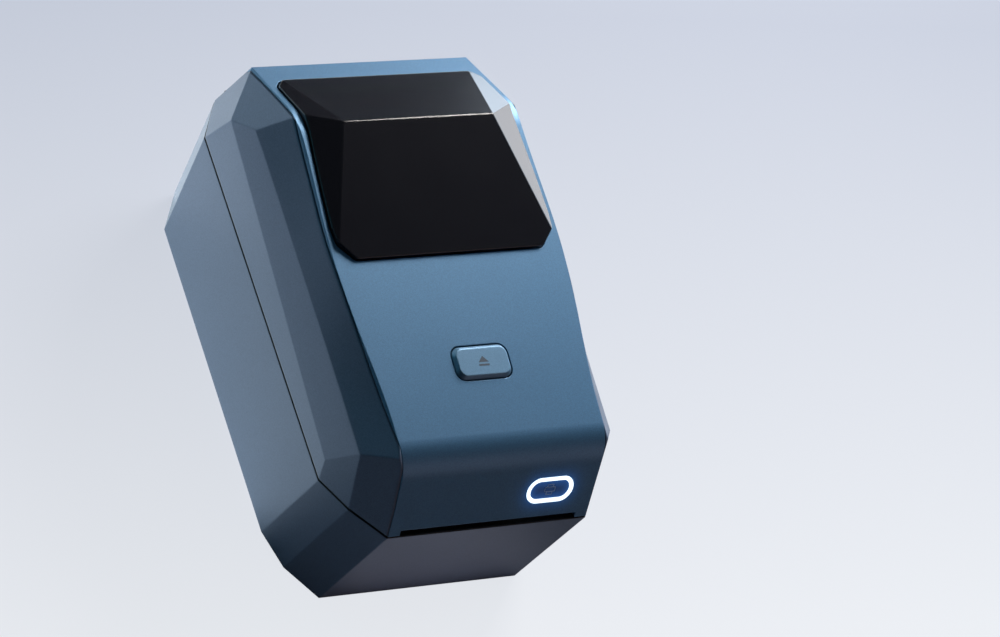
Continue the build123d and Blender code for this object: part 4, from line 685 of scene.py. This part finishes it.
class PRINTER_OT_stage(bpy.types.Operator):
    """Adds the floor, the lamps and the camera"""

    bl_idname = "printer.stage"
    bl_label = "Stage"

    def execute(self, context):
        look = context.scene.printer_stage
        self.floor(look)
        self.lamps(context, look)
        self.camera(context)
        return {"FINISHED"}

    def floor(self, look):
        """A pale floor that fades from near to far and takes a faint share of the shadows."""
        shadow_share = 0.1
        fade_from, fade_to = -0.0747, 0.0975
        mesh = bpy.data.meshes.new("floor")
        shape = bmesh.new()
        bmesh.ops.create_grid(shape, x_segments=4, y_segments=4, size=6.0)
        shape.to_mesh(mesh)
        shape.free()
        floor = bpy.data.objects.new("floor", mesh)
        bpy.context.scene.collection.objects.link(floor)
        material = bpy.data.materials.new("Floor")
        material.use_nodes = True
        tree = material.node_tree
        tree.nodes.clear()
        place = own_place(tree)
        rise = vector_maths(tree, "DOT_PRODUCT", place, CAMERA_UP)
        along = add(tree, "ShaderNodeMapRange", {"Value": rise, "From Min": fade_from, "From Max": fade_to})
        tone = mixed(tree, along.outputs["Result"], look.near_color, look.far_color)
        seen = add(tree, "ShaderNodeEmission", {"Color": tone, "Strength": 1.03})
        lit = add(tree, "ShaderNodeBsdfDiffuse", {"Color": tone})
        front = self.blended(tree, shadow_share, seen.outputs["Emission"], lit.outputs["BSDF"])
        path = add(tree, "ShaderNodeLightPath")
        bounce = self.bounce(tree, place, look)
        output = add(tree, "ShaderNodeOutputMaterial")
        put(tree, output.inputs["Surface"], self.blended(tree, path.outputs["Is Camera Ray"], bounce, front))
        mesh.materials.append(material)

    def blended(self, tree, share, first, second):
        """A shader that goes from the first to the second as a share goes from 0 to 1."""
        return add(tree, "ShaderNodeMixShader", {0: share, 1: first, 2: second}).outputs["Shader"]

    def bounce(self, tree, place, look):
        """What the floor gives back to the printer: pale cards beside and before it, and a dark flag at
        its front right. Each edge has an axis, where the patch ends and where it has its full strength."""
        beside = (("Y", -0.052, -0.036), ("X", 0.0, -0.04), ("X", -0.14, -0.085))
        before = (("Y", -0.066, -0.074), ("Y", -0.13, -0.1), ("X", -0.03, -0.015), ("X", 0.06, 0.02))
        front_right = (("Y", -0.035, -0.05), ("X", 0.005, 0.03), ("X", 0.14, 0.1))
        axes = add(tree, "ShaderNodeSeparateXYZ", {"Vector": place})
        pale = add(tree, "ShaderNodeBsdfDiffuse", {"Color": (0.72, 0.75, 0.8, 1.0)})
        dark = add(tree, "ShaderNodeBsdfDiffuse", {"Color": (0.02, 0.02, 0.024, 1.0)})
        flag = self.patch(tree, axes, 0.8, front_right)
        result = self.blended(tree, flag, pale.outputs["BSDF"], dark.outputs["BSDF"])
        cards = (
            (look.card_glow, (0.91, 1.0, 1.0, 1.0), beside),
            (look.front_glow, (1.0, 0.93, 1.0, 1.0), before),
        )
        for glow, color, edges in cards:
            strength = self.patch(tree, axes, glow, edges)
            card = add(tree, "ShaderNodeEmission", {"Color": color, "Strength": strength})
            both = add(tree, "ShaderNodeAddShader", {0: result, 1: card.outputs["Emission"]})
            result = both.outputs["Shader"]
        return result

    def patch(self, tree, axes, strength, edges):
        """A strength that fades to nothing beyond each of the soft edges of a patch of the floor."""
        for axis, none, full in edges:
            strength = maths(tree, "MULTIPLY", soft_edge(tree, axes.outputs[axis], none, full), strength)
        return strength

    def lamps(self, context, look):
        """Square lamps aimed at the printer's middle, and a very faint blue world."""
        target = Vector((0, 0, 0.035))
        # Name, direction, distance, size, energy and colour
        lamps = (
            ("right", (0.86, 0.22, 0.46), 1.1, 0.55, 2.6, (0.45, 0.7, 0.93)),
            ("rear_right", (0.72, 0.68, 0.13), 1.1, 0.42, 2.1, (0.74, 0.86, 1.0)),
            ("rear_left", (-0.52, 0.83, 0.20), 1.1, 0.7, 3.2, (0.85, 1.0, 0.99)),
            ("front_right", (0.45, -0.75, 0.48), 1.1, 0.6, 1.3, (1.0, 0.73, 0.69)),
            ("near_right", (0.60, 0.60, 0.53), 0.40, 0.16, 2.4, (1.0, 0.95, 0.9)),
            ("rear_high", (-0.6, 0.5, 0.62), 1.1, 0.6, 0.89, (0.1, 0.74, 1.0)),
            ("right_low", (0.97, 0.20, 0.05), 0.8, 0.35, 1.05, (0.96, 0.96, 1.0)),
        )
        for name, direction, distance, size, energy, color in lamps:
            data = bpy.data.lights.new(name, "AREA")
            data.shape = "SQUARE"
            data.size = size
            data.energy = energy * look.lamp_scale
            data.color = color
            lamp = bpy.data.objects.new(name, data)
            away = Vector(direction).normalized()
            lamp.location = target + away * distance
            lamp.rotation_euler = away.to_track_quat("Z", "Y").to_euler()
            context.scene.collection.objects.link(lamp)
        world = bpy.data.worlds.new("Studio")
        context.scene.world = world
        world.use_nodes = True
        back = world.node_tree.nodes["Background"]
        back.inputs["Color"].default_value = (0.1, 0.25, 1.0, 1.0)
        back.inputs["Strength"].default_value = 0.004

    def camera(self, context):
        """A long lens that looks down on the printer from its front left."""
        data = bpy.data.cameras.new("camera")
        data.sensor_width = 36.0
        data.lens = 195.44
        data.clip_start = 0.01
        data.clip_end = 50.0
        camera = bpy.data.objects.new("camera", data)
        backward = CAMERA_RIGHT.cross(CAMERA_UP).normalized()
        up = backward.cross(CAMERA_RIGHT).normalized()
        turn = Matrix((CAMERA_RIGHT.normalized(), up, backward)).transposed().to_4x4()
        camera.matrix_world = Matrix.Translation(CAMERA_PLACE) @ turn
        context.scene.collection.objects.link(camera)
        context.scene.camera = camera
        context.scene.view_settings.view_transform = "Standard"


class PRINTER_PT_panel(bpy.types.Panel):
    """Lists the printer's looks and pieces"""

    bl_idname = "PRINTER_PT_panel"
    bl_label = "Label printer"
    bl_space_type = "VIEW_3D"
    bl_region_type = "UI"
    bl_category = "Printer"

    def draw(self, context):
        scene = context.scene
        for name in LOOKS:
            box = self.layout.box()
            group = getattr(scene, name)
            for key in group.bl_rna.properties.keys():
                if key not in ("rna_type", "name"):
                    box.prop(group, key)
        for operator in OPERATORS:
            self.layout.operator(operator.bl_idname)


LOOKS = {
    "printer_case": CaseLook,
    "printer_window": WindowLook,
    "printer_ring": RingLook,
    "printer_roll": RollLook,
    "printer_stage": StageLook,
}
OPERATORS = (
    PRINTER_OT_case,
    PRINTER_OT_window,
    PRINTER_OT_open_button,
    PRINTER_OT_ring,
    PRINTER_OT_mechanism,
    PRINTER_OT_roll,
    PRINTER_OT_stage,
)
CLASSES = (*LOOKS.values(), *OPERATORS, PRINTER_PT_panel)


def register():
    for item in CLASSES:
        bpy.utils.register_class(item)
    for name, group in LOOKS.items():
        setattr(bpy.types.Scene, name, PointerProperty(type=group))


def unregister():
    for name in LOOKS:
        delattr(bpy.types.Scene, name)
    for item in reversed(CLASSES):
        bpy.utils.unregister_class(item)


def main():
    """Dresses the printer."""
    register()
    bpy.ops.printer.case()
    bpy.ops.printer.window()
    bpy.ops.printer.open_button()
    bpy.ops.printer.ring()
    bpy.ops.printer.mechanism()
    bpy.ops.printer.roll()
    bpy.ops.printer.stage()


if __name__ == "__main__":
    main()
